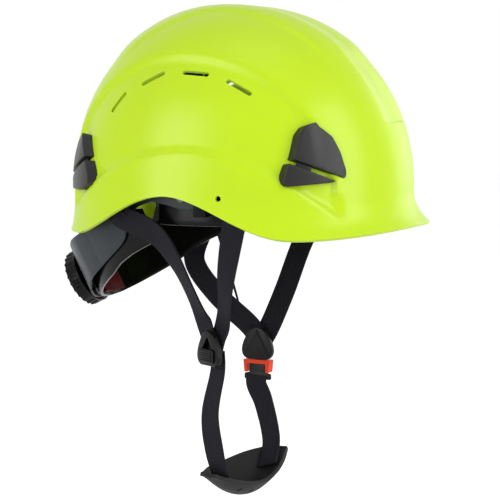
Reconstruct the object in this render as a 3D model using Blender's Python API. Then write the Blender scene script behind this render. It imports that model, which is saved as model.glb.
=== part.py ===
"""Arborist helmet: vented shell, lamp clips, webbing cradle, ratchet headband and chin harness.

Metres. +Z is up, the front faces -Y and the wearer's right is -X. The origin is the centre of the
wearer's head at the shell's widest level.
"""

import math

import bmesh
import bpy
from mathutils import Vector

# Shell
SHELL_FRONT = 0.1345
SHELL_REAR = 0.1225
SHELL_HALF_WIDTH = 0.108
SHELL_HEIGHT = 0.134
PLAN_POWER = 2.1
DOME_POWER = 2.07
WALL = 0.0028
RIM_FRONT = -0.025
RIM_BROW = -0.033
RIM_EAR = -0.0035
RIM_NAPE = -0.034
BROW_ANGLE, EAR_ANGLE, NAPE_ANGLE = (math.radians(a) for a in (50, 96, 145))
PEAK_FLARE = 0.011
SIDE_FLARE = 0.0015
NAPE_FLARE = 0.0015
FLARE_HEIGHT = 0.022
PANEL_DEPTH = 0.0035
PANEL_BEVEL = 0.007
PANEL_TOP = 0.098
PANEL_CENTRE = -0.012
PANEL_FRONT = 0.116
PANEL_REAR = 0.100
PANEL_FRONT_ANGLE, PANEL_REAR_ANGLE = math.radians(31), math.radians(153)
LEDGE_TOP = 0.026
LEDGE_DROP = 4.1
CREST_HEIGHT = 0.0018
CREST_HALF_WIDTH = 0.034
TROUGH_DEPTH = 0.0035
TROUGH_HALF_WIDTH = 0.022
TROUGH_FOOT = 0.048
SEGMENTS = 72
DOME_RINGS = 14
SKIRT_RINGS = 4
RINGS = DOME_RINGS + SKIRT_RINGS

# Slots and holes in the shell
VENT_WIDTH = 0.0035
VENTS = (
    ((0.0812, -0.0661, 0.0577), (0.0808, -0.0566, 0.0693)),
    ((0.0837, -0.0393, 0.0772), (0.0832, -0.0245, 0.0843)),
    ((0.0850, -0.0058, 0.0849), (0.0857, 0.0114, 0.0835)),
    ((0.0863, 0.0292, 0.0786), (0.0868, 0.0453, 0.0702)),
)
VISOR_HOLE = (0.1058, 0.0298, -0.0045)
VISOR_HOLE_RADIUS = 0.002

# Clearances
GAP = 0.0003
FRONT_CLIP_GAP, REAR_CLIP_GAP = 0.0013, 0.0009
WALL_GAP = 0.0005

# Lamp clips: outlines on the shell, along the surface towards the nearer end of the shell, and up
CLIP_PROUD = 0.0015
FRONT_CLIP_ANGLE = math.radians(50)
REAR_CLIP_ANGLE = math.radians(135)
FRONT_CLIP = (
    (0.0176, 0.0481), (0.0102, 0.0460), (0.0055, 0.0405), (0.0003, 0.0227), (-0.0033, 0.0192),
    (-0.0076, 0.0075), (-0.0056, 0.0040), (0.0298, 0.0065), (0.0413, 0.0097), (0.0422, 0.0139),
    (0.0381, 0.0278), (0.0328, 0.0383), (0.0259, 0.0439),
)
REAR_CLIP = (
    (0.0112, 0.0385), (0.0008, 0.0236), (-0.0060, 0.0129), (-0.0081, 0.0036), (0.0047, -0.0021),
    (0.0396, -0.0024), (0.0420, 0.0060), (0.0360, 0.0220), (0.0280, 0.0340), (0.0200, 0.0390),
)
CLIP_SLOTS = (((-0.012, 0.0250), (0.0060, 0.0190)), ((0.0190, 0.0147), (0.0420, 0.0070)))
CLIP_SLOT_WIDTH = 0.0036

# Head and headband
HEAD_CENTRE = 0.004
HEAD_HALF_WIDTH = 0.079
HEAD_FRONT = 0.098
BAND_THICKNESS = 0.002
BAND_LOW = -0.026
BAND_HIGH = 0.002
BAND_END = math.radians(112)
BROW_PAD_THICKNESS = 0.004
BROW_PAD_END = math.radians(66)

# Nape cradle: an elliptical band whose axis leans back
NAPE_LEAN = math.radians(27)
NAPE_CENTRE = (0.0, -0.114, -0.068)
NAPE_DEPTH = 0.117
LINER_THICKNESS = 0.0026
HOUSING_BASE = (0.0029, 0.0042)
RACK_LAYER = (0.0049, 0.0063)
PINION_LAYER = (0.0049, 0.0060)
COVER_LAYER = (0.0068, 0.0084)
WING_LAYER = (0.0032, 0.0048)
RACK_START, RACK_END = -14, 41
RACK_HEIGHT = 0.0050
KNOB_RADIUS = 0.0215
KNOB_THICKNESS = 0.011
KNOB_RIBS = 24
KNOB_GAP = 0.0006
SHAFT_RADIUS = 0.0035
SHAFT_BITE = 0.004
SCREW_RADIUS, SCREW_HEIGHT = 0.004, 0.0012
RIB_HEIGHT = 0.0009
PINION_RADIUS, PINION_TOOTH = 0.0058, 0.0015
INSERT_LOW, INSERT_HIGH, INSERT_DEPTH, INSERT_TURN = -0.0195, -0.0045, 0.0022, 12
PIVOT = (-0.008, -0.006)
NAPE_RADIUS = HEAD_HALF_WIDTH ** 2 / NAPE_DEPTH
# Stations of each nape strip: degrees from the nape, low and high edge along the lean
LINER = (
    (0, -0.0220, 0.0190), (12, -0.0215, 0.0190), (24, -0.0200, 0.0195), (36, -0.0180, 0.0200),
    (47, -0.0157, 0.0200), (55, -0.0120, 0.0200), (63, -0.0107, 0.0200), (70, -0.0108, 0.0190),
    (76, -0.0112, 0.0150),
)
HOUSING = (
    (0, -0.0200, 0.0205), (5.5, -0.0200, 0.0206), (11, -0.0193, 0.0209), (16.5, -0.0178, 0.0215),
    (22, -0.0156, 0.0226),
)
# The wings have two more columns: further forward, and how much they lie over the rack
WING = (
    (23, -0.0150, 0.0228, 0, 1), (26, -0.0135, 0.0232, 0, 1), (30, -0.0110, 0.0240, 0, 1),
    (35, -0.0095, 0.0240, 0, 0.9), (40, -0.0080, 0.0240, 0, 0.5), (45, -0.0066, 0.0235, 0, 0.1),
    (50, -0.0052, 0.0230, 0, 0), (57, -0.0030, 0.0235, 0, 0), (62, -0.0010, 0.0245, 0, 0),
    (65, 0.0020, 0.0255, 0, 0), (68, 0.0090, 0.0265, 0, 0), (71, 0.0145, 0.0272, 0, 0),
    (76, 0.0170, 0.0272, 0, 0), (82, 0.0150, 0.0262, 0, 0), (87, 0.0070, 0.0240, 0, 0),
    (90, 0.0010, 0.0210, 0, 0), (90, -0.0030, 0.0180, 0.006, 0), (90, -0.0050, 0.0130, 0.012, 0),
    (90, -0.0045, 0.0070, 0.017, 0),
)
PIVOT_PIN_RADIUS = 0.003
PIN_INSET, PIN_HEAD = 0.003, 0.0016
HANGER_WIDTH = 0.010
HANGER_THICKNESS = 0.0016
HANGER_CLEARANCE = 0.0009
HANGER_TURN = 47
HANGER_SEAT = (0.0021, 0.0005)
HANGER_FOOT = 0.0203
HANGER_KNEE = -0.022
HANGER_TOP = -0.007

# Cradle anchors inside the shell: angle from the front, and the ring of the shell that each lies on
ANCHOR_DEPTH = 0.006
ANCHOR_LOW, ANCHOR_HIGH = -0.018, -0.005
ANCHORS = (("front", 45, 0.009), ("side", 82, 0.0045), ("rear", 146, 0.009))
HOOKS = (("front", 69), ("rear", 121))
HOOK_LOW, HOOK_HIGH = -0.016, -0.001
HOOK_DEPTH = 0.0025
HOOK_HOLLOW = 0.0011
CRADLE_TOP = 0.098
CRADLE_STEP = 0.0022
CRADLE_POWER = 2.0

# Webbing
WEBBING_WIDTH = 0.0175
WEBBING = 0.0016
CRADLE_WIDTH = 0.016
CRADLE_THICKNESS = 0.001

# Chin harness
DIVIDER_THICKNESS = 0.0045
DIVIDER_RIGHT = (-0.0612, 0.0040, -0.1180)
DIVIDER_LEFT = (0.0612, -0.0070, -0.1300)
# Each divider hangs turned on its straps: its outer face towards the nape, or the brow if negative
TURN_RIGHT, TURN_LEFT = math.radians(33), math.radians(-6)
DIVIDER_OUTLINE = (
    (0.0, 0.0155), (0.0075, 0.0120), (0.0130, 0.0010), (0.0140, -0.0060), (0.0105, -0.0110),
    (-0.0105, -0.0110), (-0.0140, -0.0060), (-0.0130, 0.0010), (-0.0075, 0.0120),
)
WINDOW_OUTLINE = ((0.0, 0.0105), (0.0070, 0.0005), (-0.0070, 0.0005))
LOCK_SIZE = (0.0190, 0.0100, 0.0022)
LOCK_FOOT = -0.0085
BUCKLE_TOP = -0.0113
LATCH_HALF_WIDTH = 0.0115
LATCH_HEIGHT = 0.0100
LATCH_BAR = 0.0030
LATCH_LEG = 0.0035
LATCH_LAYER = (-0.0030, 0.0075)
LATCH_SLOT = 0.0061
TONGUE_THICKNESS = 0.0024
TONGUE_HALF_WIDTHS = (0.0070, 0.0115)
TONGUE_LOW = -0.0270
CHIN_HINGE = -0.0105
STACK = WEBBING + GAP
FACE_TURN = (0.3, 0.7)

# Chin cup: a shallow front wall, a high rear wall, and the left end turned forward
CUP_HALF_LENGTH = 0.047
CUP_FLOOR = -0.2350
CUP_RISE = 0.024
CUP_TILT = 0.08
CUP_HALF_WIDTH = 0.019
CUP_THICKNESS = 0.0030
CUP_FORWARD = 0.007
CUP_TURN = math.radians(14)
CUP_FRONT_WALL, CUP_REAR_WALL = 0.011, 0.024
# Where the chin straps end inside the cup: share along it, edge across it, and height over its floor
CUP_SEATS = ((-0.70, 0.12, 0.0084), (0.50, 0.22, 0.0090))
CUP_EDGES = (-1, -0.75, -0.5, -0.25, 0, 0.33, 0.67, 1)


def at(across, forward, up):
    """A point from its distance to the wearer's left, forward of the origin, and up."""
    return Vector((across, -forward, up))


def clear_scene():
    for old in list(bpy.data.objects):
        bpy.data.objects.remove(old)


def finish_of(name, colour, roughness, metallic=0.0):
    finish = bpy.data.materials.new(name)
    finish.use_nodes = True
    shader = finish.node_tree.nodes["Principled BSDF"]
    shader.inputs["Base Color"].default_value = (*colour, 1.0)
    shader.inputs["Roughness"].default_value = roughness
    shader.inputs["Metallic"].default_value = metallic
    finish.diffuse_color = (*colour, 1.0)
    return finish


def add(name, bm, finish=None, parent=None, origin=None):
    """The mesh as an object, with its origin on the given point and its place kept."""
    bmesh.ops.recalc_face_normals(bm, faces=bm.faces)
    if origin is not None:
        bmesh.ops.translate(bm, verts=bm.verts, vec=-origin)
    mesh = bpy.data.meshes.new(name)
    bm.to_mesh(mesh)
    bm.free()
    obj = bpy.data.objects.new(name, mesh)
    bpy.context.scene.collection.objects.link(obj)
    if origin is not None:
        obj.location = origin
    if parent is not None:
        obj.parent = parent
        obj.location = (origin or Vector()) - parent.location
    if finish is not None:
        mesh.materials.append(finish)
        mesh.shade_smooth()
        mesh.set_sharp_from_angle(angle=math.radians(35))
    else:
        obj.hide_render = True
        obj.display_type = "WIRE"
    return obj


def combine(obj, other, operation="DIFFERENCE"):
    boolean = obj.modifiers.new(operation.title(), "BOOLEAN")
    boolean.operation = operation
    boolean.object = other


def ease(low, high, value):
    share = min(max((value - low) / (high - low), 0.0), 1.0)
    return share * share * (3 - 2 * share)


# The shell's surface


def half_length(forward):
    return SHELL_FRONT if forward > 0 else SHELL_REAR


def plan_radius(angle):
    length = half_length(math.cos(angle))
    along = abs(math.cos(angle) / length) ** PLAN_POWER
    across = abs(math.sin(angle) / SHELL_HALF_WIDTH) ** PLAN_POWER
    return (along + across) ** (-1 / PLAN_POWER)


def rim_height(angle):
    side = abs(math.remainder(angle, math.tau))
    height = RIM_FRONT + (RIM_BROW - RIM_FRONT) * ease(0, BROW_ANGLE, side)
    height += (RIM_EAR - RIM_BROW) * ease(BROW_ANGLE, EAR_ANGLE, side)
    return height + (RIM_NAPE - RIM_EAR) * ease(EAR_ANGLE, NAPE_ANGLE, side)


def flare(angle, up):
    """How far the skirt turns outwards: most at the peak, a little along the sides and the nape."""
    reach = SIDE_FLARE + PEAK_FLARE * max(math.cos(angle), 0) ** 2 + NAPE_FLARE * max(-math.cos(angle), 0)
    below = min(max((rim_height(angle) + FLARE_HEIGHT - up) / FLARE_HEIGHT, 0), 1)
    return reach * below ** 2


def panel_share(across, forward, up):
    """1 inside the sunk side panel and 0 outside it, with a soft edge."""
    length = PANEL_FRONT if forward > PANEL_CENTRE else PANEL_REAR
    arch = PANEL_TOP * math.sqrt(max(1 - ((forward - PANEL_CENTRE) / length) ** 2, 0))
    ledge = LEDGE_TOP - LEDGE_DROP * forward ** 2
    side = math.atan2(abs(across), forward)
    share = ease(0, PANEL_BEVEL, arch - up) * ease(0, PANEL_BEVEL, up - ledge)
    share *= ease(PANEL_FRONT_ANGLE, PANEL_FRONT_ANGLE + 0.07, side)
    return share * ease(PANEL_REAR_ANGLE, PANEL_REAR_ANGLE - 0.07, side)


def relief(across, forward, up):
    """The height of the moulded features over the plain dome."""
    spread = 0.09 * max(forward, 0) + 0.35 * max(-0.007 - forward, 0)
    edge = CREST_HALF_WIDTH + spread
    crest = CREST_HEIGHT * ease(edge + 0.004, edge - 0.004, abs(across)) * ease(0.088, 0.106, up)
    trough = TROUGH_DEPTH * max(1 - abs(across) / TROUGH_HALF_WIDTH, 0)
    trough *= ease(TROUGH_FOOT - 0.002, TROUGH_FOOT + 0.002, up)
    return crest - trough - PANEL_DEPTH * panel_share(across, forward, up)


def shell_point(segment, ring, offset=0.0, moulded=True):
    """A point of the shell's grid: ring 0 is the crown and the last ring the rim."""
    angle = math.tau * segment / SEGMENTS
    plan = plan_radius(angle)
    if ring <= DOME_RINGS:
        turn = math.pi / 2 * ring / DOME_RINGS
        radius = plan * math.sin(turn) ** (2 / DOME_POWER)
        up = SHELL_HEIGHT * max(math.cos(turn), 0) ** (2 / DOME_POWER)
    else:
        radius = plan
        up = rim_height(angle) * (ring - DOME_RINGS) / SKIRT_RINGS
    across, forward = radius * math.sin(angle), radius * math.cos(angle)
    length = half_length(forward)
    power = PLAN_POWER - 1
    slope = (radius / plan) ** (DOME_POWER - PLAN_POWER) if ring else 0
    normal = at(
        math.copysign(abs(across / SHELL_HALF_WIDTH) ** power, across) * slope / SHELL_HALF_WIDTH,
        math.copysign(abs(forward / length) ** power, forward) * slope / length,
        (max(up, 0) / SHELL_HEIGHT) ** (DOME_POWER - 1) / SHELL_HEIGHT,
    ).normalized()
    raised = relief(across, forward, up) if moulded else 0
    outwards = at(math.sin(angle), math.cos(angle), 0) * flare(angle, up)
    return at(across, forward, up) + outwards + normal * (raised + offset)


def on_grid(bm, patch_faces, first_segment, first_ring, offset, moulded):
    for vert in {v for face in patch_faces for v in face.verts}:
        segment = vert[bm.verts.layers.int["segment"]] + first_segment
        ring = vert[bm.verts.layers.int["ring"]] + first_ring
        vert.co = shell_point(segment, ring, offset, moulded)


def shell_patch(segments, rings, low, high, moulded_high=False):
    """A slab that follows the shell's grid between two offsets from its surface."""
    bm = bmesh.new()
    segment_layer = bm.verts.layers.int.new("segment")
    ring_layer = bm.verts.layers.int.new("ring")
    columns, rows = segments[1] - segments[0], rings[1] - rings[0]
    bmesh.ops.create_grid(bm, x_segments=columns, y_segments=rows, size=1)
    for vert in bm.verts:
        vert[segment_layer] = round((vert.co.x + 1) / 2 * columns)
        vert[ring_layer] = round((vert.co.y + 1) / 2 * rows)
    base = bm.faces[:]
    grown = bmesh.ops.extrude_face_region(bm, geom=base, use_keep_orig=True)
    outer = [item for item in grown["geom"] if isinstance(item, bmesh.types.BMFace)]
    on_grid(bm, outer, segments[0], rings[0], high, moulded_high)
    on_grid(bm, base, segments[0], rings[0], low, True)
    return bm


def prism(outline, place, depth):
    """A closed outline, placed by a function, pushed through by a vector."""
    bm = bmesh.new()
    face = bm.faces.new([bm.verts.new(place(*point)) for point in outline])
    pushed = bmesh.ops.extrude_face_region(bm, geom=[face], use_keep_orig=True)
    verts = [item for item in pushed["geom"] if isinstance(item, bmesh.types.BMVert)]
    bmesh.ops.translate(bm, verts=verts, vec=depth)
    bmesh.ops.recalc_face_normals(bm, faces=bm.faces)
    return bm


def slot_outline(start, end, width, steps=4):
    """A slot with round ends between two points of a plane."""
    start, end = Vector(start), Vector(end)
    heading = math.atan2(end.y - start.y, end.x - start.x)
    points = []
    for middle, begin in ((end, heading - math.pi / 2), (start, heading + math.pi / 2)):
        for step in range(steps + 1):
            turn = begin + math.pi * step / steps
            points.append((middle.x + width / 2 * math.cos(turn), middle.y + width / 2 * math.sin(turn)))
    return points


def joined(name, pieces):
    bm = bmesh.new()
    for piece in pieces:
        mesh = bpy.data.meshes.new(name)
        piece.to_mesh(mesh)
        piece.free()
        bm.from_mesh(mesh)
        bpy.data.meshes.remove(mesh)
    return add(name, bm)


def ribbon(stations):
    """A bar of four-cornered section drawn through a list of sections."""
    bm = bmesh.new()
    rows = [[bm.verts.new(point) for point in section] for section in stations]
    for before, after in zip(rows, rows[1:]):
        for corner in range(len(before)):
            following = (corner + 1) % len(before)
            bm.faces.new((before[corner], before[following], after[following], after[corner]))
    bm.faces.new(rows[0][::-1])
    bm.faces.new(rows[-1])
    return bm


def make_shell(finish):
    bm = bmesh.new()
    bmesh.ops.create_uvsphere(bm, u_segments=SEGMENTS, v_segments=RINGS + 1, radius=1)
    foot = min(bm.verts, key=lambda vert: vert.co.z)
    bmesh.ops.delete(bm, geom=[foot], context="VERTS")
    places = {}
    for vert in bm.verts:
        ring = round(math.acos(min(max(vert.co.z, -1), 1)) * (RINGS + 1) / math.pi)
        segment = round(math.atan2(vert.co.x, -vert.co.y) * SEGMENTS / math.tau) if ring else 0
        places[vert] = (segment, ring)
    inner = bmesh.ops.duplicate(bm, geom=bm.verts[:] + bm.edges[:] + bm.faces[:])
    for outer_vert, place in places.items():
        outer_vert.co = shell_point(*place)
        inner["vert_map"][outer_vert].co = shell_point(*place, offset=-WALL)
    inner_faces = [item for item in inner["geom"] if isinstance(item, bmesh.types.BMFace)]
    bmesh.ops.reverse_faces(bm, faces=inner_faces)
    rims = [edge for edge in bm.edges if edge.is_boundary]
    bmesh.ops.bridge_loops(bm, edges=rims)
    return add("shell", bm, finish)


def vent_cutter(start, end, side):
    start, end = at(start[0] * side, *start[1:]), at(end[0] * side, *end[1:])
    middle = (start + end) / 2
    along = (end - start).normalized()
    outwards = Vector((middle.x, middle.y, middle.z * 0.6)).normalized()
    outwards = (outwards - along * outwards.dot(along)).normalized()
    upwards = outwards.cross(along)
    half = (end - start).length / 2
    outline = slot_outline((-half, 0), (half, 0), VENT_WIDTH)
    base = middle - outwards * 0.012
    return prism(outline, lambda a, b: base + along * a + upwards * b, outwards * 0.024)


def cut_openings(shell):
    pieces = []
    for side in (-1, 1):
        pieces += [vent_cutter(start, end, side) for start, end in VENTS]
        hole = bmesh.new()
        bmesh.ops.create_circle(hole, cap_ends=True, segments=12, radius=VISOR_HOLE_RADIUS)
        outline = [(vert.co.x, vert.co.y) for vert in hole.verts]
        hole.free()
        across, forward, up = VISOR_HOLE
        pieces.append(
            prism(outline, lambda a, b: at(side * (across - 0.012), forward + a, up + b), at(side * 0.03, 0, 0))
        )
    combine(shell, joined("shell_openings_cutter", pieces))


def make_clip(name, side, centre_angle, outline, gap, segments, rings, finish):
    """A lamp clip: a slab on the shell, cut to its outline, with the strap channel's two open ends."""
    angles = sorted(side * segment for segment in segments)
    clip = add(name, shell_patch(angles, rings, gap, CLIP_PROUD), finish)
    radial = at(side * math.sin(centre_angle), math.cos(centre_angle), 0)
    along = math.copysign(1, math.cos(centre_angle))
    tangent = at(-side * along * math.cos(centre_angle), along * math.sin(centre_angle), 0)

    def place(along, up):
        return radial * 0.06 + tangent * along + Vector((0, 0, up))

    combine(clip, add(name + "_outline_cutter", prism(outline, place, radial * 0.12)), "INTERSECT")
    slots = [prism(slot_outline(*slot, CLIP_SLOT_WIDTH, 2), place, radial * 0.12) for slot in CLIP_SLOTS]
    combine(clip, joined(name + "_slot_cutter", slots))
    return clip


def make_clips(finish):
    for side, hand in ((-1, "right"), (1, "left")):
        front = (FRONT_CLIP_ANGLE, FRONT_CLIP, FRONT_CLIP_GAP, (5, 12), (8, 16))
        rear = (REAR_CLIP_ANGLE, REAR_CLIP, REAR_CLIP_GAP, (25, 32), (9, 16))
        make_clip(f"lamp_clip_front_{hand}", side, *front, finish)
        make_clip(f"lamp_clip_rear_{hand}", side, *rear, finish)


# Cradle and headband


def wall_point(angle, inset):
    """A point inside the shell at its widest level, measured from the inner wall."""
    point = shell_point(angle / math.tau * SEGMENTS, DOME_RINGS, -WALL - inset)
    return Vector((point.x, point.y, 0))


def wall_inwards(angle):
    """The level direction square to the wall, towards the head."""
    return (wall_point(angle, 0.01) - wall_point(angle, 0)).normalized()


def head_point(angle, up, offset=0.0):
    """A point of the headband's inner face, at an angle round the head from the front."""
    length = HEAD_FRONT if math.cos(angle) > 0 else HEAD_FRONT * 0.9
    return at(
        (HEAD_HALF_WIDTH + offset) * math.sin(angle),
        HEAD_CENTRE + (length + offset) * math.cos(angle),
        up,
    )


def band(angles, low, high, inner, outer):
    """A strip round the head between two heights and two distances from it."""
    return ribbon([
        (
            head_point(angle, low, inner), head_point(angle, low, outer),
            head_point(angle, high, outer), head_point(angle, high, inner),
        )
        for angle in angles
    ])


def spread(start, end, count):
    return [start + (end - start) * step / count for step in range(count + 1)]


def make_headband(finish, soft):
    angles = spread(-BAND_END, BAND_END, 36)
    headband = add("headband", band(angles, BAND_LOW, BAND_HIGH, 0, BAND_THICKNESS), finish)
    across = HEAD_HALF_WIDTH + BAND_THICKNESS
    pivot_holes = []
    for side in (-1, 1):
        pivot_holes.append(disc(PIVOT_PIN_RADIUS + GAP, side * (across - 0.01), side * 0.02, *PIVOT))
    combine(headband, joined("headband_pivot_cutter", pivot_holes))
    angles = spread(-BROW_PAD_END, BROW_PAD_END, 22)
    pad = band(angles, BAND_LOW - 0.002, BAND_HIGH - 0.002, -GAP - BROW_PAD_THICKNESS, -GAP)
    add("brow_pad", pad, soft)


def disc(radius, across, thickness, forward, up, sides=16):
    """A short cylinder whose axis runs across the helmet."""
    bm = bmesh.new()
    bmesh.ops.create_circle(bm, cap_ends=True, segments=sides, radius=radius)
    outline = [(vert.co.x, vert.co.y) for vert in bm.verts]
    bm.free()
    return prism(outline, lambda a, b: at(across, forward + a, up + b), at(thickness, 0, 0))


def wall_block(angle, half_width, low, high, reach, wall_square=True):
    """A block on the inner wall: the reach is a depth, or a function of the angle that gives one.
    It stands square to the wall, or points at the helmet's axis."""
    half = half_width / plan_radius(angle)
    sections = []
    for turn in (angle - half, angle, angle + half):
        wall = wall_point(turn, WALL_GAP)
        depth = reach(turn, wall) if callable(reach) else reach
        inwards = wall_inwards(turn) * depth if wall_square else wall * (-depth / wall.length)
        foot, head = Vector((0, 0, low)), Vector((0, 0, high))
        sections.append((wall + inwards + foot, wall + foot, wall + head, wall + inwards + head))
    return ribbon(sections)


def to_headband(turn, wall):
    """The depth from the wall to just short of the headband."""
    return wall.length - radius_at_head(turn, BAND_THICKNESS) - 2 * GAP


def make_anchors(finish):
    """Anchors on the shell's inner wall, each with an arm that reaches the headband or the hanger."""
    for side, hand in ((-1, "right"), (1, "left")):
        for place, degrees, half_width in ANCHORS:
            reach = ANCHOR_DEPTH if place == "rear" else to_headband
            turn = side * math.radians(degrees)
            block = wall_block(turn, half_width, ANCHOR_LOW, ANCHOR_HIGH, reach, place == "rear")
            add(f"cradle_anchor_{place}_{hand}", block, finish)
        for place, degrees in HOOKS:
            half_width = WEBBING_WIDTH / 2 + 0.001
            block = wall_block(side * math.radians(degrees), half_width, HOOK_LOW, HOOK_HIGH, HOOK_DEPTH)
            add(f"harness_hook_{place}_{hand}", block, finish)


def radius_at_head(angle, offset):
    """The distance from the origin to a face of the headband, in a direction seen from above."""
    turn = angle
    for _ in range(8):
        point = head_point(turn, 0, offset)
        turn += math.remainder(angle - math.atan2(point.x, -point.y), math.tau)
    return head_point(turn, 0, offset).length


def cradle_strap(start, end, layer):
    """A strap from one anchor over the head to the other."""
    sections = []
    steps = 14
    top = CRADLE_TOP + layer * CRADLE_STEP
    low = ANCHOR_HIGH + GAP
    feet = [wall_point(angle, WALL_GAP + 0.0035) for angle in (start, end)]
    for step in range(steps + 1):
        turn = math.pi * step / steps
        foot = feet[0] if turn < math.pi / 2 else feet[1]
        reach = abs(math.cos(turn)) ** (2 / CRADLE_POWER)
        centre = foot * reach + Vector((0, 0, low + (top - low) * math.sin(turn) ** (2 / CRADLE_POWER)))
        along = (feet[1] - feet[0]).normalized()
        width = Vector((0, 0, 1)).cross(along) * (CRADLE_WIDTH / 2)
        slope = Vector((0, 0, 1)) * math.sin(turn) - along * math.cos(turn)
        thick = slope.normalized() * CRADLE_THICKNESS
        sections.append((centre - width, centre + width, centre + width + thick, centre - width + thick))
    return ribbon(sections)


def make_cradle(soft):
    front, side, rear = (math.radians(degrees) for _, degrees, _ in ANCHORS)
    add("cradle_strap_1", cradle_strap(-front, rear, 0), soft)
    add("cradle_strap_2", cradle_strap(front, -rear, 1), soft)
    add("cradle_strap_3", cradle_strap(-side, side, 2), soft)


# Nape cradle


def nape_point(turn, height, offset=0.0, further=0.0):
    """A point on the leaning nape surface: angle from the nape, height along its axis, distance out."""
    centre = at(*NAPE_CENTRE)
    forward = at(0, math.cos(NAPE_LEAN), math.sin(NAPE_LEAN))
    upward = at(0, -math.sin(NAPE_LEAN), math.cos(NAPE_LEAN))
    across = (HEAD_HALF_WIDTH + offset) * math.sin(turn)
    depth = NAPE_DEPTH * (1 - math.cos(turn)) - offset * math.cos(turn) + further
    return centre + Vector((across, 0, 0)) + forward * depth + upward * height


def nape_section(turn, low, high, inner, outer, further):
    return (
        nape_point(turn, low, inner, further), nape_point(turn, low, outer, further),
        nape_point(turn, high, outer, further), nape_point(turn, high, inner, further),
    )


def nape_strip(stations, inner, outer):
    """A strip on the nape surface through (angle, low, high) stations."""
    return ribbon([
        nape_section(math.radians(degrees), low, high, inner, outer, 0) for degrees, low, high in stations
    ])


def wing_strip(side):
    """A wing: it lies over the rack near the housing, and close to the liner further on."""
    sections = []
    for degrees, low, high, further, over_rack in WING:
        inner, outer = (
            near + (far - near) * over_rack for near, far in zip(WING_LAYER, COVER_LAYER)
        )
        sections.append(nape_section(math.radians(degrees) * side, low, high, inner, outer, further))
    return ribbon(sections)


def mirrored(stations):
    return [(-degrees, low, high) for degrees, low, high in stations[:0:-1]] + list(stations)


def rack(direction):
    """A flat strap on the circle that the nape follows, above or below the pinion."""
    sections = []
    middle = direction * (PINION_RADIUS + RACK_HEIGHT / 2 + GAP)
    for step in range(13):
        turn = math.radians(RACK_START + (RACK_END - RACK_START) * step / 12) * direction
        sections.append([
            rack_point(turn, middle + rise * RACK_HEIGHT / 2, NAPE_RADIUS + RACK_LAYER[layer])
            for rise, layer in ((-1, 0), (-1, 1), (1, 1), (1, 0))
        ])
    return ribbon(sections)


def nape_axes():
    """The nape's centre, with its outward (knob) and upward directions."""
    outward = at(0, -math.cos(NAPE_LEAN), -math.sin(NAPE_LEAN))
    upward = at(0, -math.sin(NAPE_LEAN), math.cos(NAPE_LEAN))
    return at(*NAPE_CENTRE), outward, upward


def rack_point(turn, height, radius):
    centre, outward, upward = nape_axes()
    hub = centre - outward * NAPE_RADIUS
    return hub + Vector((radius * math.sin(turn), 0, 0)) + outward * radius * math.cos(turn) + upward * height


def wheel(radius, low, high, sides, tooth=0.0):
    """A disc on the knob's axis, plain or with teeth, between two distances out from the nape."""
    centre, outward, upward = nape_axes()
    side = Vector((1, 0, 0))
    points = []
    count = sides * 2 if tooth else sides
    for step in range(count):
        reach = radius + (tooth if step % 2 else 0)
        turn = math.tau * step / count
        points.append((reach * math.cos(turn), reach * math.sin(turn)))
    return prism(points, lambda a, b: centre + outward * low + side * a + upward * b, outward * (high - low))


def hanger(side):
    """The strip that stands on the liner's edge and slides along the rear anchor."""
    turn = side * math.radians(ANCHORS[2][1])
    wall = wall_point(turn, WALL_GAP + ANCHOR_DEPTH + HANGER_CLEARANCE)
    inwards = wall_inwards(turn)
    wide = Vector((0, 0, 1)).cross(inwards) * HANGER_WIDTH / 2
    half_turn = math.degrees(HANGER_WIDTH / 2 / HEAD_HALF_WIDTH)
    ends = [math.radians(side * HANGER_TURN + turn) for turn in (-half_turn, half_turn)]
    outer, inner = HANGER_SEAT
    sections = [[nape_point(turn, HANGER_FOOT, outer) for turn in ends]
                + [nape_point(turn, HANGER_FOOT, inner) for turn in ends[::-1]]]
    for height in (HANGER_KNEE, HANGER_TOP):
        point = wall + Vector((0, 0, height))
        thick = inwards * HANGER_THICKNESS
        sections.append((point - wide, point + wide, point + wide + thick, point - wide + thick))
    return ribbon(sections)


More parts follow.
